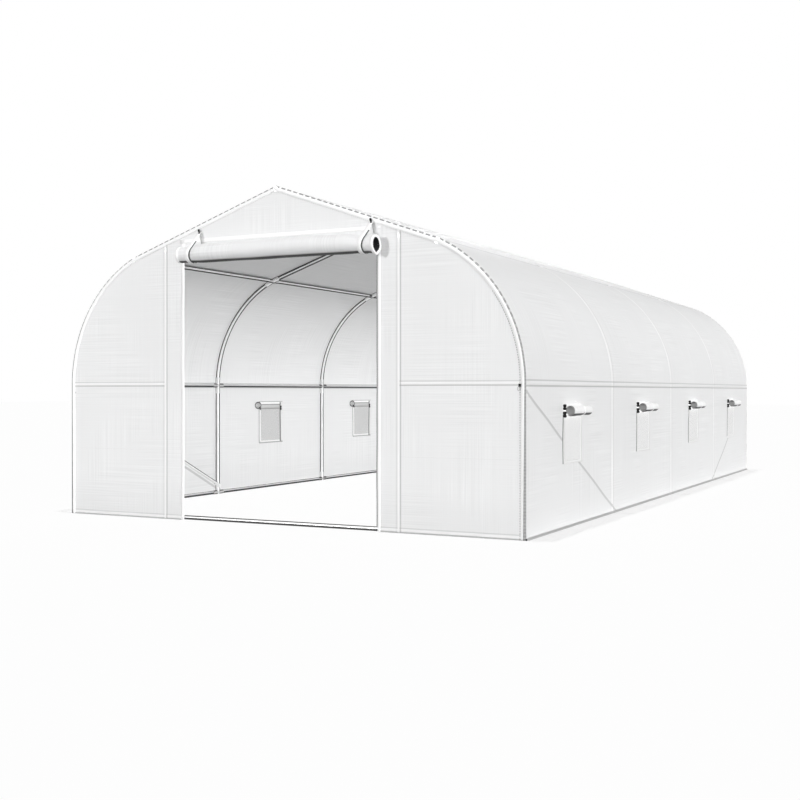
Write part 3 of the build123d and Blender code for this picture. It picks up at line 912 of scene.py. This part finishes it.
def build_end_wall(end, turn):
    (points, faces, uv), values = end_wall_mesh(turn)
    part = (turned(points, turn), faces, uv)
    wall = make(f"{end}_end_wall", part, COVER_PAINT, values=values)
    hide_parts(f"{end}_left_panel", f"{end}_right_panel", f"{end}_gable")
    return wall


# ------------------------------------------------ seams and hems
# Binding round the end hoop, from outwards to the front, and the bright tape beside it, a real
# tape painted white as the highlight over the hoop: at the foot, above the waist and on the roof
BIND_EDGES = (radians(41), radians(41), radians(26)), (radians(92), radians(70), radians(54))
TAPE_EDGES = (-0.0010, 0.0055, 0.0098), (-0.0150, -0.0130, -0.0095)
EDGE_SEAM = (-0.0190, -0.0135)          # row of stitches inside that, on wall and roof
PALE_ABOVE = 1.3                        # where those stitches turn from dark to pale
# Hem tapes up the two sides of a doorway: how far they reach in and out from its edge
DOOR_HEMS = ((-1, 0.021, 0.003), (1, 0.005, 0.012))
HEAD_HEM = (-0.017, 0.006)              # tape along its head, below and above the seam
STITCH_INSET = 0.003                    # stitches, in from the edges of the tapes at the sides
BINDING_FACES = (0.0024, 0.0006)        # both faces of the binding, off the cloth round the hoop
TAPE_LIFT, TAPE_THICK = 0.0006, 0.0010
HEM_THICK, HEAD_LIFT = 0.0012, 0.0030
# Stitches and zip teeth: pitch, length, width, height
EDGE_STITCH = (0.013, 0.007, 0.0034, 0.0010)
HEM_STITCH = (0.009, 0.006, 0.0012, 0.0005)
DOOR_TEETH = (0.005, 0.0028, 0.004, 0.0014)
WINDOW_TEETH = (0.0045, 0.0026, 0.003, 0.0014)
ZIP_EDGES = (0.011, 0.004)              # zip tape, in from the edge of the doorway
RIM = SECTION[SECTION[:, 0] > 1e-6]


def on_end(grid, lift, turn):
    """Points x, z laid on the cloth of an end wall."""
    x, z = grid[..., 0], grid[..., 1]
    return turned(places(x, -END_Y - end_height(x, z, turn) - lift, z), turn)


def end_tape(grid, lift, thickness, turn):
    """Tape laid on an end wall over a grid of x, z."""
    return slab(on_end(grid, lift + thickness, turn), on_end(grid, lift, turn))


def end_studs(line, lift, turn, *size):
    """Row of studs on an end wall along a line of x, z."""
    return studs(on_end(line, lift, turn), (0, -turn, 0), *size)


def rim_rows(foot, middle_rows, top):
    """Values for the rows of rim_grid, from those of the right half without its two ends."""
    share = np.clip(np.concatenate([[foot], middle_rows, [top]]), 0, 1)
    return np.concatenate([share, share[-2::-1]])[:, None]


# For each row of rim_grid: 0 where the arch is upright and 1 on the roof, and how low it is
LEANS = smooth(rim_rows(0, RIM[:, 2] / (pi / 2 - SLOPE), 1))
DROPS = rim_rows(1, 1 - RIM[:, 1] / WAIST_Z, 0)


def rim_blend(foot, wall, roof):
    """Value for each row of rim_grid, from those at the foot, above the waist and on the roof."""
    return foot * DROPS + (wall + (roof - wall) * LEANS) * (1 - DROPS)


def rim_grid(aways):
    """Points x, z along an end hoop, at several distances outside its axis for each row."""
    place = np.vstack([[SIDE_X, 0.002], RIM[:, :2], [0, RIDGE_Z]])
    angle = np.concatenate([[0], RIM[:, 2]])
    outs = np.vstack([places(np.cos(angle), np.sin(angle)), [0, 1 / cos(SLOPE)]])
    half = place[:, None] + outs[:, None] * aways[: len(place), :, None]
    return np.concatenate([half, half[-2::-1] * (-1, 1)])


def arch_seams(end, turn):
    """Binding, edge tape and stitches round one end arch."""
    first, last = (rim_blend(*edge) for edge in BIND_EDGES)
    angles = first + (last - first) * np.linspace(0, 1, 7)
    layers = []
    for face in BINDING_FACES:
        radius = HOOP_REST + face
        grid = rim_grid(radius * np.cos(angles))
        deep = -END_Y - radius * np.sin(angles)
        layers.append(turned(places(grid[..., 0], deep, grid[..., 1]), turn))
    lean = {"lean": np.repeat(LEANS[:, 0], 2 * angles.shape[1])}
    edging = make(f"{end}_edge_binding", slab(*layers), BINDING_PAINT, values=lean)
    # Bright tape beside the binding, painted white as the highlight over the end hoop
    outer, inner = (rim_blend(*edge) for edge in TAPE_EDGES)
    grid = rim_grid(outer + (inner - outer) * np.linspace(0, 1, 7))
    edge = make(f"{end}_edge_highlight_tape", end_tape(grid, TAPE_LIFT, TAPE_THICK, turn), HEM_AND_HIGHLIGHT_PAINT)
    line = rim_grid(EDGE_SEAM[0] + (EDGE_SEAM[1] - EDGE_SEAM[0]) * LEANS)[:, 0]
    part = end_studs(line, 0.0, turn, *EDGE_STITCH)
    centres = turned(part[0], turn).reshape(-1, 12, 3).mean(1)
    pale = (centres[:, 0] < 0) | (centres[:, 2] > PALE_ABOVE)
    pale = np.repeat(pale, len(part[1]) // len(centres))
    seam = make(f"{end}_edge_stitches", part, ZIP_PAINT, other=(THREAD_PAINT, pale))
    return [edging, edge, seam]


def door_seams(end, turn):
    """Hem tapes round a doorway, their stitches, and the zip up one side."""
    z = stops(0.002, SEAM_Z, [BASE_Z, WAIST_Z], coarse=0.05)
    hems, rows = [], []
    for side, reach, back in DOOR_HEMS:
        near, far = DOOR_HALF - reach, DOOR_HALF + back
        band = strip(places(side * near, z), places(side * far, z))
        hems.append(end_tape(band, TAPE_LIFT, HEM_THICK, turn))
        for x in (near + STITCH_INSET, far - STITCH_INSET):
            rows.append((places(side * x, z), TAPE_LIFT + HEM_THICK))
    x = np.linspace(-DOOR_HALF - 0.012, DOOR_HALF - 0.052, 30)
    low, high = (SEAM_Z + past for past in HEAD_HEM)
    band = strip(places(x, low), places(x, high), 4)
    hems.append(end_tape(band, HEAD_LIFT, HEM_THICK, turn))
    rows += [(places(x, level), HEAD_LIFT + HEM_THICK) for level in (low + 0.004, high - 0.004)]
    hem = make(f"{end}_door_hems", hems, HEM_AND_HIGHLIGHT_PAINT)
    stitches = [end_studs(row, lift, turn, *HEM_STITCH) for row, lift in rows]
    thread = make(f"{end}_door_stitches", stitches, THREAD_PAINT)
    z = z[(z < HEAD_Z - 0.01) & (z > 0.03)]
    inner, outer = (places(DOOR_HALF - reach, z) for reach in ZIP_EDGES)
    teeth = end_studs(inner + (0.0012, 0), 0.0012, turn, *DOOR_TEETH)
    zip_tape = end_tape(strip(inner, outer), 0.0002, TAPE_THICK, turn)
    zipped = make(f"{end}_door_zip", [zip_tape, teeth], ZIP_PAINT)
    return [hem, thread, zipped]


# ------------------------------------------------ rolled cloth
def rolled_cloth(shares, ends, recess, seam, axis, radius, core, turns, creases,
                 per_turn=34, inner=1.0, reach=0.75):
    """Sheet sewn along a seam and rolled up below it, as rows of (along, out, up).

    shares are its columns from 0 to 1, and ends where its sides are on the outer turn.
    Each turn inwards draws back by recess at the two sides. seam, axis and radius are
    functions of the place along. creases(along, turn) adds to the radius. The roll is painted
    dark as painted shade along its underside, for reach radians past its lowest line, and
    inside its innermost turn, where inner is how dark."""
    rows, wound = [], []
    along = ends[0] + shares * (ends[1] - ends[0])
    for share in np.linspace(0, 1, 7)[:-1]:
        out, up = ((1 - share) * top + share * low for top, low in zip(seam(along), axis(along)))
        rows.append(places(along, out - share * radius(along), up))
        wound.append(0)
    for turn in np.linspace(0, 2 * pi * turns, ceil(per_turn * turns) + 1):
        laps = turn / (2 * pi)
        along = ends[0] + recess[0] * laps + shares * (ends[1] - ends[0] - sum(recess) * laps)
        far = radius(along) * (1 - (1 - core) * laps / turns) + creases(along, turn)
        out, up = axis(along)
        rows.append(places(along, out - far * cos(turn), up - far * sin(turn)))
        wound.append(laps)
    rows = np.array(rows)
    steps = np.linalg.norm(np.diff(rows, axis=0), axis=2).mean(1)
    length = np.concatenate([[0], np.cumsum(steps)])
    wound = np.array(wound)
    # Painted shade along the underside of the outer turn and inside the innermost turn
    underside_shade = np.clip((pi / 2 + reach - wound * 2 * pi) / 0.28, 0, 1) * (wound > 0.18)
    dark = np.maximum(inner * np.clip((wound - turns + 1.12) * 20, 0, 1), underside_shade)
    uv = places(rows[0, :, 0], length[:, None])
    return rows, uv, np.broadcast_to(dark[:, None], rows.shape[:2]), length[-1]


def side_hem(rows, axis, columns, thickness, from_row, to_row):
    """Thick hem along one side of a rolled sheet, over some of its columns."""
    grid = rows[from_row:to_row, columns[0] : columns[-1] + 1]
    out, up = axis(grid[..., 0])
    away = places(0, grid[..., 1] - out, grid[..., 2] - up)
    away /= np.linalg.norm(away, axis=2)[..., None]
    return slab(grid + away * thickness / 2, grid - away * thickness / 2)


def folds(seed, height, lengths, harmonics):
    """Soft creases round a roll that every turn shares, so that turns keep apart."""
    rng = np.random.default_rng(seed)
    terms = [
        (n, rng.uniform(*lengths), rng.uniform(0, 2 * pi)) for n in harmonics for _ in range(2)
    ]

    def height_at(along, turn):
        total = sum(np.sin(n * turn + 2 * pi * along / size + phase) for n, size, phase in terms)
        return height * total / sqrt(len(terms))

    return height_at


def strap_line(axis, radius, hook, tail):
    """Path (out, up) of a strap from a hook on the wall round the front and bottom of a roll,
    then along tail, with its outward directions."""
    axis, hook = np.asarray(axis, float), np.asarray(hook, float)
    away = hook - axis
    start = atan2(away[1], away[0]) - np.arccos(radius / np.linalg.norm(away))
    angles = np.linspace(start, -pi * 0.97, 34)
    arc = axis + radius * places(np.cos(angles), np.sin(angles))
    straight = hook + (arc[0] - hook) * np.linspace(0, 1, 6)[:-1, None]
    first = np.tile((cos(start), sin(start)), (len(straight), 1))
    last = np.tile((-1.0, 0.0), (len(tail), 1))
    return np.vstack([straight, arc, tail]), np.vstack([first, (arc - axis) / radius, last])


# ------------------------------------------------ door curtains
door_low, door_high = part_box("front_door_curtain")
SEAM_Z = door_high.z
ROLL_LOW, ROLL_HIGH = door_low.x, door_high.x - 0.017
ROLL_R = (door_high.y - door_low.y) / 2
ROLL_START = ROLL_LOW + 0.024
ROLL_LENGTH = ROLL_HIGH - ROLL_START
ROLL_OUT = -(door_low.y + door_high.y) / 2
ROLL_Z = door_low.z + ROLL_R
STRAP_X = (-0.545, 0.603)
STRAP_TOPS = ((-0.526, 1.709), (0.626, 1.698))      # x, z of the toggles
STRAP_TAIL = ((0.0085, 1.605), (0.0045, 1.640))     # last points: off the end cloth, and z
STRAP_WIDTH = 0.026
# Cord of a door toggle: along the door from its top, off the end cloth, and z below the top
CORD_ALONG = (0, 0.007, 0.012, 0.018)
CORD_OUT = (0.010, 0.0095, 0.0105, 0.0115)
CORD_Z = (1.675, 1.655, 1.634)
LIP_X = 0.660               # where the outer turn starts to stand out, towards its end

# Outer radius and sag of the rolled door along its length
ROLL_MARKS = (
    ROLL_LOW, STRAP_X[0] - 0.02, STRAP_X[0] + 0.01, -0.45, 0.48, STRAP_X[1] - 0.01, 0.64, ROLL_HIGH
)
ROLL_RADII = (0.0470, 0.0485, 0.0500, 0.0575, 0.0582, 0.0505, 0.0520, 0.0530)
ROLL_SAGS = (0.004, 0.004, 0.003, 0.0, 0.0, 0.007, 0.009, 0.012)


def curtain_radius(x):
    return eased(x, ROLL_MARKS, ROLL_RADII)


def curtain_axis(x):
    return np.full_like(x, ROLL_OUT), ROLL_Z - eased(x, ROLL_MARKS, ROLL_SAGS)


def build_curtain(end, turn):
    """Door rolled up over its doorway: one sheet, with the bottom hem wound innermost."""
    marks = [(x - ROLL_START) / ROLL_LENGTH for x in STRAP_X]
    shares = stops(0, 1, [0, *marks, 1], fine=0.006, reach=0.045, coarse=0.016)
    soft = folds(301 + (turn < 0), 0.0007, (0.25, 0.9), (1, 2, 3))
    tight = folds(311 + (turn < 0), 0.0009, (0.03, 0.08), (5, 7))

    def creases(x, angle):
        pinched = sum(np.exp(-(((x - strap) / 0.04) ** 2)) for strap in STRAP_X)
        lobe = np.exp(-((((angle - pi / 2) + pi) % (2 * pi) - pi) / 0.26) ** 2)
        lip = 0.008 * lobe * np.clip((x - LIP_X) / (ROLL_HIGH - LIP_X), 0, 1) ** 2
        return soft(x, angle) + tight(x, angle) * pinched + lip

    def seam(x):
        level = np.full_like(x, SEAM_Z)
        return END_Y + end_height(x, level, turn) + GAP, level

    rows, uv, core, length = rolled_cloth(
        shares, (ROLL_START, ROLL_HIGH), (0.003, 0.0004), seam, curtain_axis, curtain_radius,
        0.67, 5.0, creases,
    )
    part = (turned(rows * (1, -1, 1), turn), grid_faces(*rows.shape[:2]), uv)
    # core carries the painted shade under the roll and inside its innermost turn
    sheet = make(f"{end}_curtain", part, CURTAIN_PAINT, values={"core": core})
    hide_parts(f"{end}_door_curtain")
    inner_turn = len(rows) - 34
    hems = []
    for edge, thickness in ((0, 0.0026), (1, 0.0031)):
        near = np.flatnonzero(np.abs(shares - edge) * ROLL_LENGTH < 0.016)
        points, faces, uv = side_hem(rows, curtain_axis, near, thickness, 6, inner_turn)
        hems.append((turned(points * (1, -1, 1), turn), faces, uv))
    hem = make(f"{end}_curtain_hems", hems, HEM_AND_HIGHLIGHT_PAINT)
    return sheet, hem, (ROLL_LENGTH, length)


def swept_strap(along, path, outs, width, turn, shift=0.0, thickness=0.0018):
    """Strap swept along a path of (out, up) at a place along the door."""
    line = turned(places(along, -path[:, 0], path[:, 1]), turn)
    side = turned(places(0, -outs[:, 0], outs[:, 1]), turn)
    return sweep(line, side, np.array(tape(width, thickness)) + (shift, 0))


def build_straps():
    """Webbing loops that hold the rolled doors, their toggles, the cords of those, and a
    near-black band of painted shadow beside each loop.
    """
    straps, edges, toggles, cords = [], [], [], []
    face = END_Y + SLACK
    tail = [(face + out, z) for out, z in STRAP_TAIL]
    for _, turn in ENDS:
        for x, (top_x, top_z) in zip(STRAP_X, STRAP_TOPS):
            axis = (ROLL_OUT, ROLL_Z - float(eased(x, ROLL_MARKS, ROLL_SAGS)))
            radius = float(curtain_radius(x)) + 0.0022
            path, outs = strap_line(axis, radius, (face + 0.008, top_z), tail)
            bends = (top_x, x + 0.002, x + 0.006)
            along = eased(np.linspace(0, 1, len(path)), (0, 0.40, 1), bends)
            straps.append(swept_strap(along, path, outs, STRAP_WIDTH, turn))
            # Near-black band beside the strap: painted shadow of the strap
            past = -STRAP_WIDTH / 2 - 0.0035
            edges.append(swept_strap(along[3:], path[3:], outs[3:], 0.009, turn, past, 0.0012))
            fall = places(face + np.array(CORD_OUT), [top_z, *CORD_Z])
            along = top_x + np.array(CORD_ALONG)
            cords.append(swept_strap(along, fall, np.tile((1.0, 0.0), (4, 1)), 0.006, turn))
            out = -face - 0.0145
            bar = [(top_x + 0.004, out, top_z - 0.018), (top_x - 0.005, out, top_z + 0.018)]
            toggles.append(toggle(*turned(bar, turn), 1.25))
    webbing = make("door_webbing", straps, STRAP_PAINT)
    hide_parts("door_straps")
    plastic = make("door_toggle_bars", toggles, BLACK_PAINT)
    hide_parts("door_toggles")
    make("door_toggle_cords", cords, CORD_PAINT)
    make("door_strap_shadows", edges, STRAP_SHADOW_AND_DARK_TAPE_PAINT)


# ------------------------------------------------ windows
flap_low, flap_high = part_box("right_window_flaps")
FLAP_R = (flap_high.x - flap_low.x) / 2
FLAP_OUT = (flap_low.x + flap_high.x) / 2
FLAP_Z = (flap_low.z + flap_high.z) / 2
FLAP_HALF = (flap_high.y - flap_low.y - (len(HOOPS) - 2) * BAY) / 2
TIE_AT = 0.035              # past the middle of the window, away from the zip
TIE_MARK = 0.03             # how far to both sides it draws the roll in
FLAP_RADII = np.array([0.0315, 0.0312, 0.0270, 0.0296, 0.0300])

# Heights of things off the cover of a side wall; less than nothing is inside the tunnel
NET_LIFT, NET_THICK = 0.0008, 0.0009
INNER_LINE_SHADE_LIFT, INNER_LINE_SHADE_THICK = -0.0022, 0.0012
HEADER_THICK = 0.0008
TIE_LEVEL = 0.70            # height where the wall behind a tie is measured
TIE_HOOK = (0.004, 0.708)   # off that, and z
TIE_WIDTH = 0.014
# Tapes round a window, from outside to inside: how far they start and end outside the hole,
# and how far they stand off the cover
FRAMES = (
    ("trim", BORDER, 0.0, 0.0019, TRIM_PAINT),
    ("frame", BORDER - 0.008, -0.001, -0.0018, HEM_AND_HIGHLIGHT_PAINT),
)
# Grey bands of painted shade inside along the top, where the rolled flap darkens the net: down
# from the top of the hole, and off the cover
HEADERS = ((0.034, -0.006, -0.0030), (0.001, -0.007, -0.0040), (0.034, 0.026, -0.0040))
# Toggles on the zip tabs outside, black, which also stand for the shade in the gap between the
# wall and the end of the roll: low end, high end, size
TAB_TOGGLES = ((0.622, 0.656, 2.0), (0.664, 0.696, 1.9))
# Rings of the coiled tie inside: half width and half height
TIE_RINGS = ((0.040, 0.024), (0.026, 0.015), (0.011, 0.006))
TIE_Z = 0.657


def wall_out(y, z, side):
    """How far out the cover of a side wall lies at y, z."""
    return SIDE_X + over_hoops(z, y, side)


def on_wall(side, grid, lift):
    """Points y, z laid on a side wall; a negative lift is inside."""
    y, z = grid[..., 0], grid[..., 1]
    return places(side * (wall_out(y, z, side) + lift), y, z)


def wall_slab(side, grid, lift, thickness, closed=False):
    """Tape or net laid on a side wall over a grid of y, z."""
    return slab(on_wall(side, grid, lift + thickness), on_wall(side, grid, lift), closed)


def line_between(first, last):
    first, last = np.asarray(first), np.asarray(last)
    return first + (last - first) * np.linspace(0.0, 1.0, 14)[:, None]


def loop_grid(centre, *grown):
    """Grid of y, z round a window between two rectangles, grown from the hole's edge."""
    loops = []
    for far in grown:
        half, high = HOLE_HALF + far, HOLE_HIGH + far
        low = HOLE_LOW - far * (HOLE_LOW - NET_LOW) / BORDER
        corners = np.array([(-half, low), (half, low), (half, high), (-half, high)])
        shares = np.linspace(0, 1, 12)[:-1, None]
        edges = [a + (b - a) * shares for a, b in zip(corners, np.roll(corners, -1, 0))]
        loops.append(np.vstack(edges) + (centre, 0))
    return strip(*loops)


def window_net(label, side, centre):
    """Net with its sewn border, the tapes round it, and grey bands and lines of painted shade
    inside.
    """
    across = centre + np.linspace(-1, 1, 12)[:, None] * NET_WIDTH / 2
    part = wall_slab(side, places(across, np.linspace(NET_LOW, NET_HIGH, 12)), NET_LIFT, NET_THICK)
    # The inner face of the net is grey: painted shade
    column = np.arange(len(part[1])) % 24
    inner = (column >= 12) & (column < 23)
    inner[-2:] = False
    net = make(f"{label}_net", part, NET_PAINT, other=(NET_INNER_SHADE_PAINT, inner))
    tapes = []
    for key, *grown, lift, paint in FRAMES:
        part = wall_slab(side, loop_grid(centre, *grown), lift, TAPE_THICK, True)
        tapes.append(make(f"{label}_{key}", part, paint))
    # A grey band and two ribs inside along the top: painted shade of the rolled flap above the net
    width = np.linspace(-1, 1, 14) * (HOLE_HALF - 0.006) + centre
    headers = []
    for low, high, lift in HEADERS:
        band = strip(places(width, HOLE_HIGH - low), places(width, HOLE_HIGH - high))
        headers.append(wall_slab(side, band, lift, HEADER_THICK))
    header = make(f"{label}_header", headers[0], HEADER_SHADE_PAINT)
    ribs = make(f"{label}_header_ribs", headers[1:], RIB_SHADE_PAINT)
    # Grey lines inside along the top, the far side and the foot of the net: painted shade at the
    # window's inner edges
    near, far = centre - side * NET_WIDTH / 2, centre + side * (NET_WIDTH / 2 - 0.005)
    foot, top = NET_LOW + 0.001, NET_HIGH - 0.004
    lines = (
        ((near, top), (far, top), (0, 0.003)),
        ((far, top), (far, foot), (0.006, 0)),
        ((far, foot), (near, foot), (0, 0.005)),
    )
    bands = []
    for first, last, half in lines:
        line = line_between(first, last)
        band = strip(line - half, line + half)
        bands.append(wall_slab(side, band, INNER_LINE_SHADE_LIFT, INNER_LINE_SHADE_THICK))
    inner_line_shade = make(f"{label}_piping", bands, INNER_LINE_SHADE_PAINT)
    return net, [*tapes, inner_line_shade, header, ribs]


def window_zip(label, side, centre):
    """Zip up one side of a window, and the tape behind it."""
    outside = centre - side * (NET_WIDTH / 2 - 0.001)
    behind = centre - side * (HOLE_HALF - 0.004)
    lines = []
    for y, top, lift, half in (
        (outside, FLAP_Z - 0.01, 0.0030, 0.0065), (behind, FLAP_Z + 0.02, -0.0042, 0.0085)
    ):
        line = line_between((y, NET_LOW + 0.004), (y, top))
        band = strip(line - (half, 0), line + (half, 0))
        lines.append(wall_slab(side, band, lift, TAPE_THICK))
    teeth = line_between((outside, NET_LOW + 0.006), (outside, FLAP_Z - 0.02))
    lines.append(studs(on_wall(side, teeth, 0.0040), (side, 0, 0), *WINDOW_TEETH))
    return make(f"{label}_zip", lines, ZIP_PAINT)


def window_flap(label, side, index, centre):
    """Flap rolled up above a window, and the band that ties it."""
    tie = centre + side * TIE_AT
    marks = (centre - FLAP_HALF, tie - TIE_MARK, tie, tie + TIE_MARK, centre + FLAP_HALF)
    radii = FLAP_RADII[::side]

    def radius(at):
        return eased(at, marks, radii)

    def axis(at):
        return np.full_like(at, FLAP_OUT), FLAP_Z + (FLAP_R - radius(at)) * 0.5

    def seam(at):
        level = np.full_like(at, NET_HIGH + 0.004)
        return wall_out(at, level, side) + 0.0034, level

    pinch = (tie - centre + FLAP_HALF) / (2 * FLAP_HALF)
    shares = stops(0, 1, [0, pinch, 1], fine=0.02, reach=0.10, coarse=0.05)
    creases = folds(401 + index + (side > 0) * 10, 0.0005, (0.10, 0.4), (1, 2, 3))
    rows, uv, core, length = rolled_cloth(
        shares, (marks[0], marks[-1]), (0.001, 0.001), seam, axis, radius,
        0.74, 2.25, creases, per_turn=30, inner=0.60, reach=1.15,
    )
    part = (rows[..., [1, 0, 2]] * (side, 1, 1), grid_faces(*rows.shape[:2]), uv)
    # core carries the painted shade under the roll and inside its innermost turn
    flap = make(f"{label}_flap", part, FLAP_PAINT, values={"core": core})
    wall = float(wall_out(np.array(tie), np.array(TIE_LEVEL), side))
    hold = float(radius(np.array(tie))) + 0.0016
    middle_axis = (FLAP_OUT, float(axis(np.array(tie))[1]))
    tail = [(FLAP_OUT - hold, FLAP_Z + 0.012)]
    hook = (wall + TIE_HOOK[0], TIE_HOOK[1])
    path, outs = strap_line(middle_axis, hold, hook, tail)
    shares = np.linspace(0, 1, len(path))
    along = tie + side * np.interp(shares, (0, 0.3, 0.7, 1), (-0.006, -0.004, 0.012, 0.012))
    line = places(side * path[:, 0], along, path[:, 1])
    part = sweep(line, places(side * outs[:, 0], 0, outs[:, 1]), tape(TIE_WIDTH, 0.0014))
    strap = make(f"{label}_tie", part, STRAP_PAINT)
    return flap, strap, length, wall


def window_toggles(label, side, centre, wall):
    """Toggles of the zip outside and inside, and the coiled tie inside with its own."""
    # Black toggles outside, which also stand for the shade behind the end of the roll
    x, y = side * (wall + 0.0135), centre - side * (FLAP_HALF + 0.012)
    bars = [toggle((x, y, low), (x, y, high), size) for low, high, size in TAB_TOGGLES]
    x, y = side * (SIDE_X + SLACK - 0.012), centre - side * (HOLE_HALF - 0.006)
    bars.append(toggle((x, y, 0.616), (x, y, 0.652), 1.1))
    knot = centre + side * (NET_WIDTH / 2 + 0.018)
    bars.append(toggle((x, knot - side * 0.030, 0.624), (x, knot - side * 0.018, 0.644), 1.2))
    knobs = make(f"{label}_toggles", bars, BLACK_PAINT)
    angles = np.linspace(0, 2 * pi, 28, endpoint=False)
    rings = []
    for reach, rise in TIE_RINGS:
        y, z = knot + reach * np.cos(angles), TIE_Z + rise * np.sin(angles)
        ring = places(x + side * 0.004, y, z)
        rings.append(sweep(ring, (-side, 0, 0), tape(0.009, 0.0016), closed=True))
    coil = joined(rings)
    inner = np.arange(len(coil[1])) >= len(rings[0][1])
    other = (CORD_PAINT, inner)
    return knobs, make(f"{label}_tie_loop", coil, STRAP_SHADOW_AND_DARK_TAPE_PAINT, other=other)


def build_window(side, index):
    """Net, frame tapes, zip and rolled flap of one window. The zip is at the front on the
    right and at the back on the left, as the cover is the same turned half round."""
    wall_name = ("left", "right")[side > 0]
    label = f"{wall_name}_window_{index + 1}"
    centre = WINDOW_YS[index]
    net, borders = window_net(label, side, centre)
    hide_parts(f"{wall_name}_window_nets")
    zipper = window_zip(label, side, centre)
    flap, strap, length, wall = window_flap(label, side, index, centre)
    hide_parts(f"{wall_name}_window_flaps")
    knobs, loop = window_toggles(label, side, centre, wall)


# ------------------------------------------------ corners
PEG = [(0, 0.0030), (0.2, 0.0048), (0.8, 0.0045), (1, 0.0028)]
PEG_ENDS = (0.001, 0.011)
KNOB_ENDS = (0.792, 0.808)
LOOP_Z = 0.782


def build_corners():
    """At the right-hand corner of each end, seen from outside, a black peg at the ground and
    a knob with its cord loop at the waist."""
    pegs, loops = [], []
    angles = np.linspace(0, 2 * pi, 20, endpoint=False)
    for _, turn in ENDS:
        x, y = SIDE_X + 0.017, -END_Y - 0.016
        pegs.append(lathe(*turned(places(x, y, PEG_ENDS), turn), PEG))
        x, y = SIDE_X - 0.018, -END_Y - HOOP_REST - 0.005
        pegs.append(toggle(*turned(places(x, y, KNOB_ENDS), turn), 1.3))
        z = LOOP_Z + 0.010 * np.sin(angles)
        ring = turned(places(x - 0.006 + 0.007 * np.cos(angles), y + 0.002, z), turn)
        loops.append(sweep(ring, (0, -turn, 0), tape(0.0028, 0.0016), closed=True))
    make("corner_pegs", pegs, BLACK_PAINT)
    make("corner_cords", loops, CORD_PAINT)


# ------------------------------------------------ cloth of the tunnel
cover, cover_flat = build_cover()
end_walls = [build_end_wall(*end) for end in ENDS]
for wall, (end, turn) in zip(end_walls, ENDS):
    seams = arch_seams(end, turn) + door_seams(end, turn)
    end_area()
    curtain, curtain_hem, curtain_flat = build_curtain(end, turn)
build_straps()
build_corners()
for side in (1, -1):
    for index in range(len(WINDOW_YS)):
        build_window(side, index)

# Galvanised finish for every part of the frame that stays as packed
for name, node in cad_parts.items():
    if node.hide_render:
        continue
    plain = SOCKET_PAINT if name.endswith("fittings") else TUBE_PAINT
    node.data.materials.clear()
    node.data.materials.append(RAIL_PAINTS.get(name, plain))
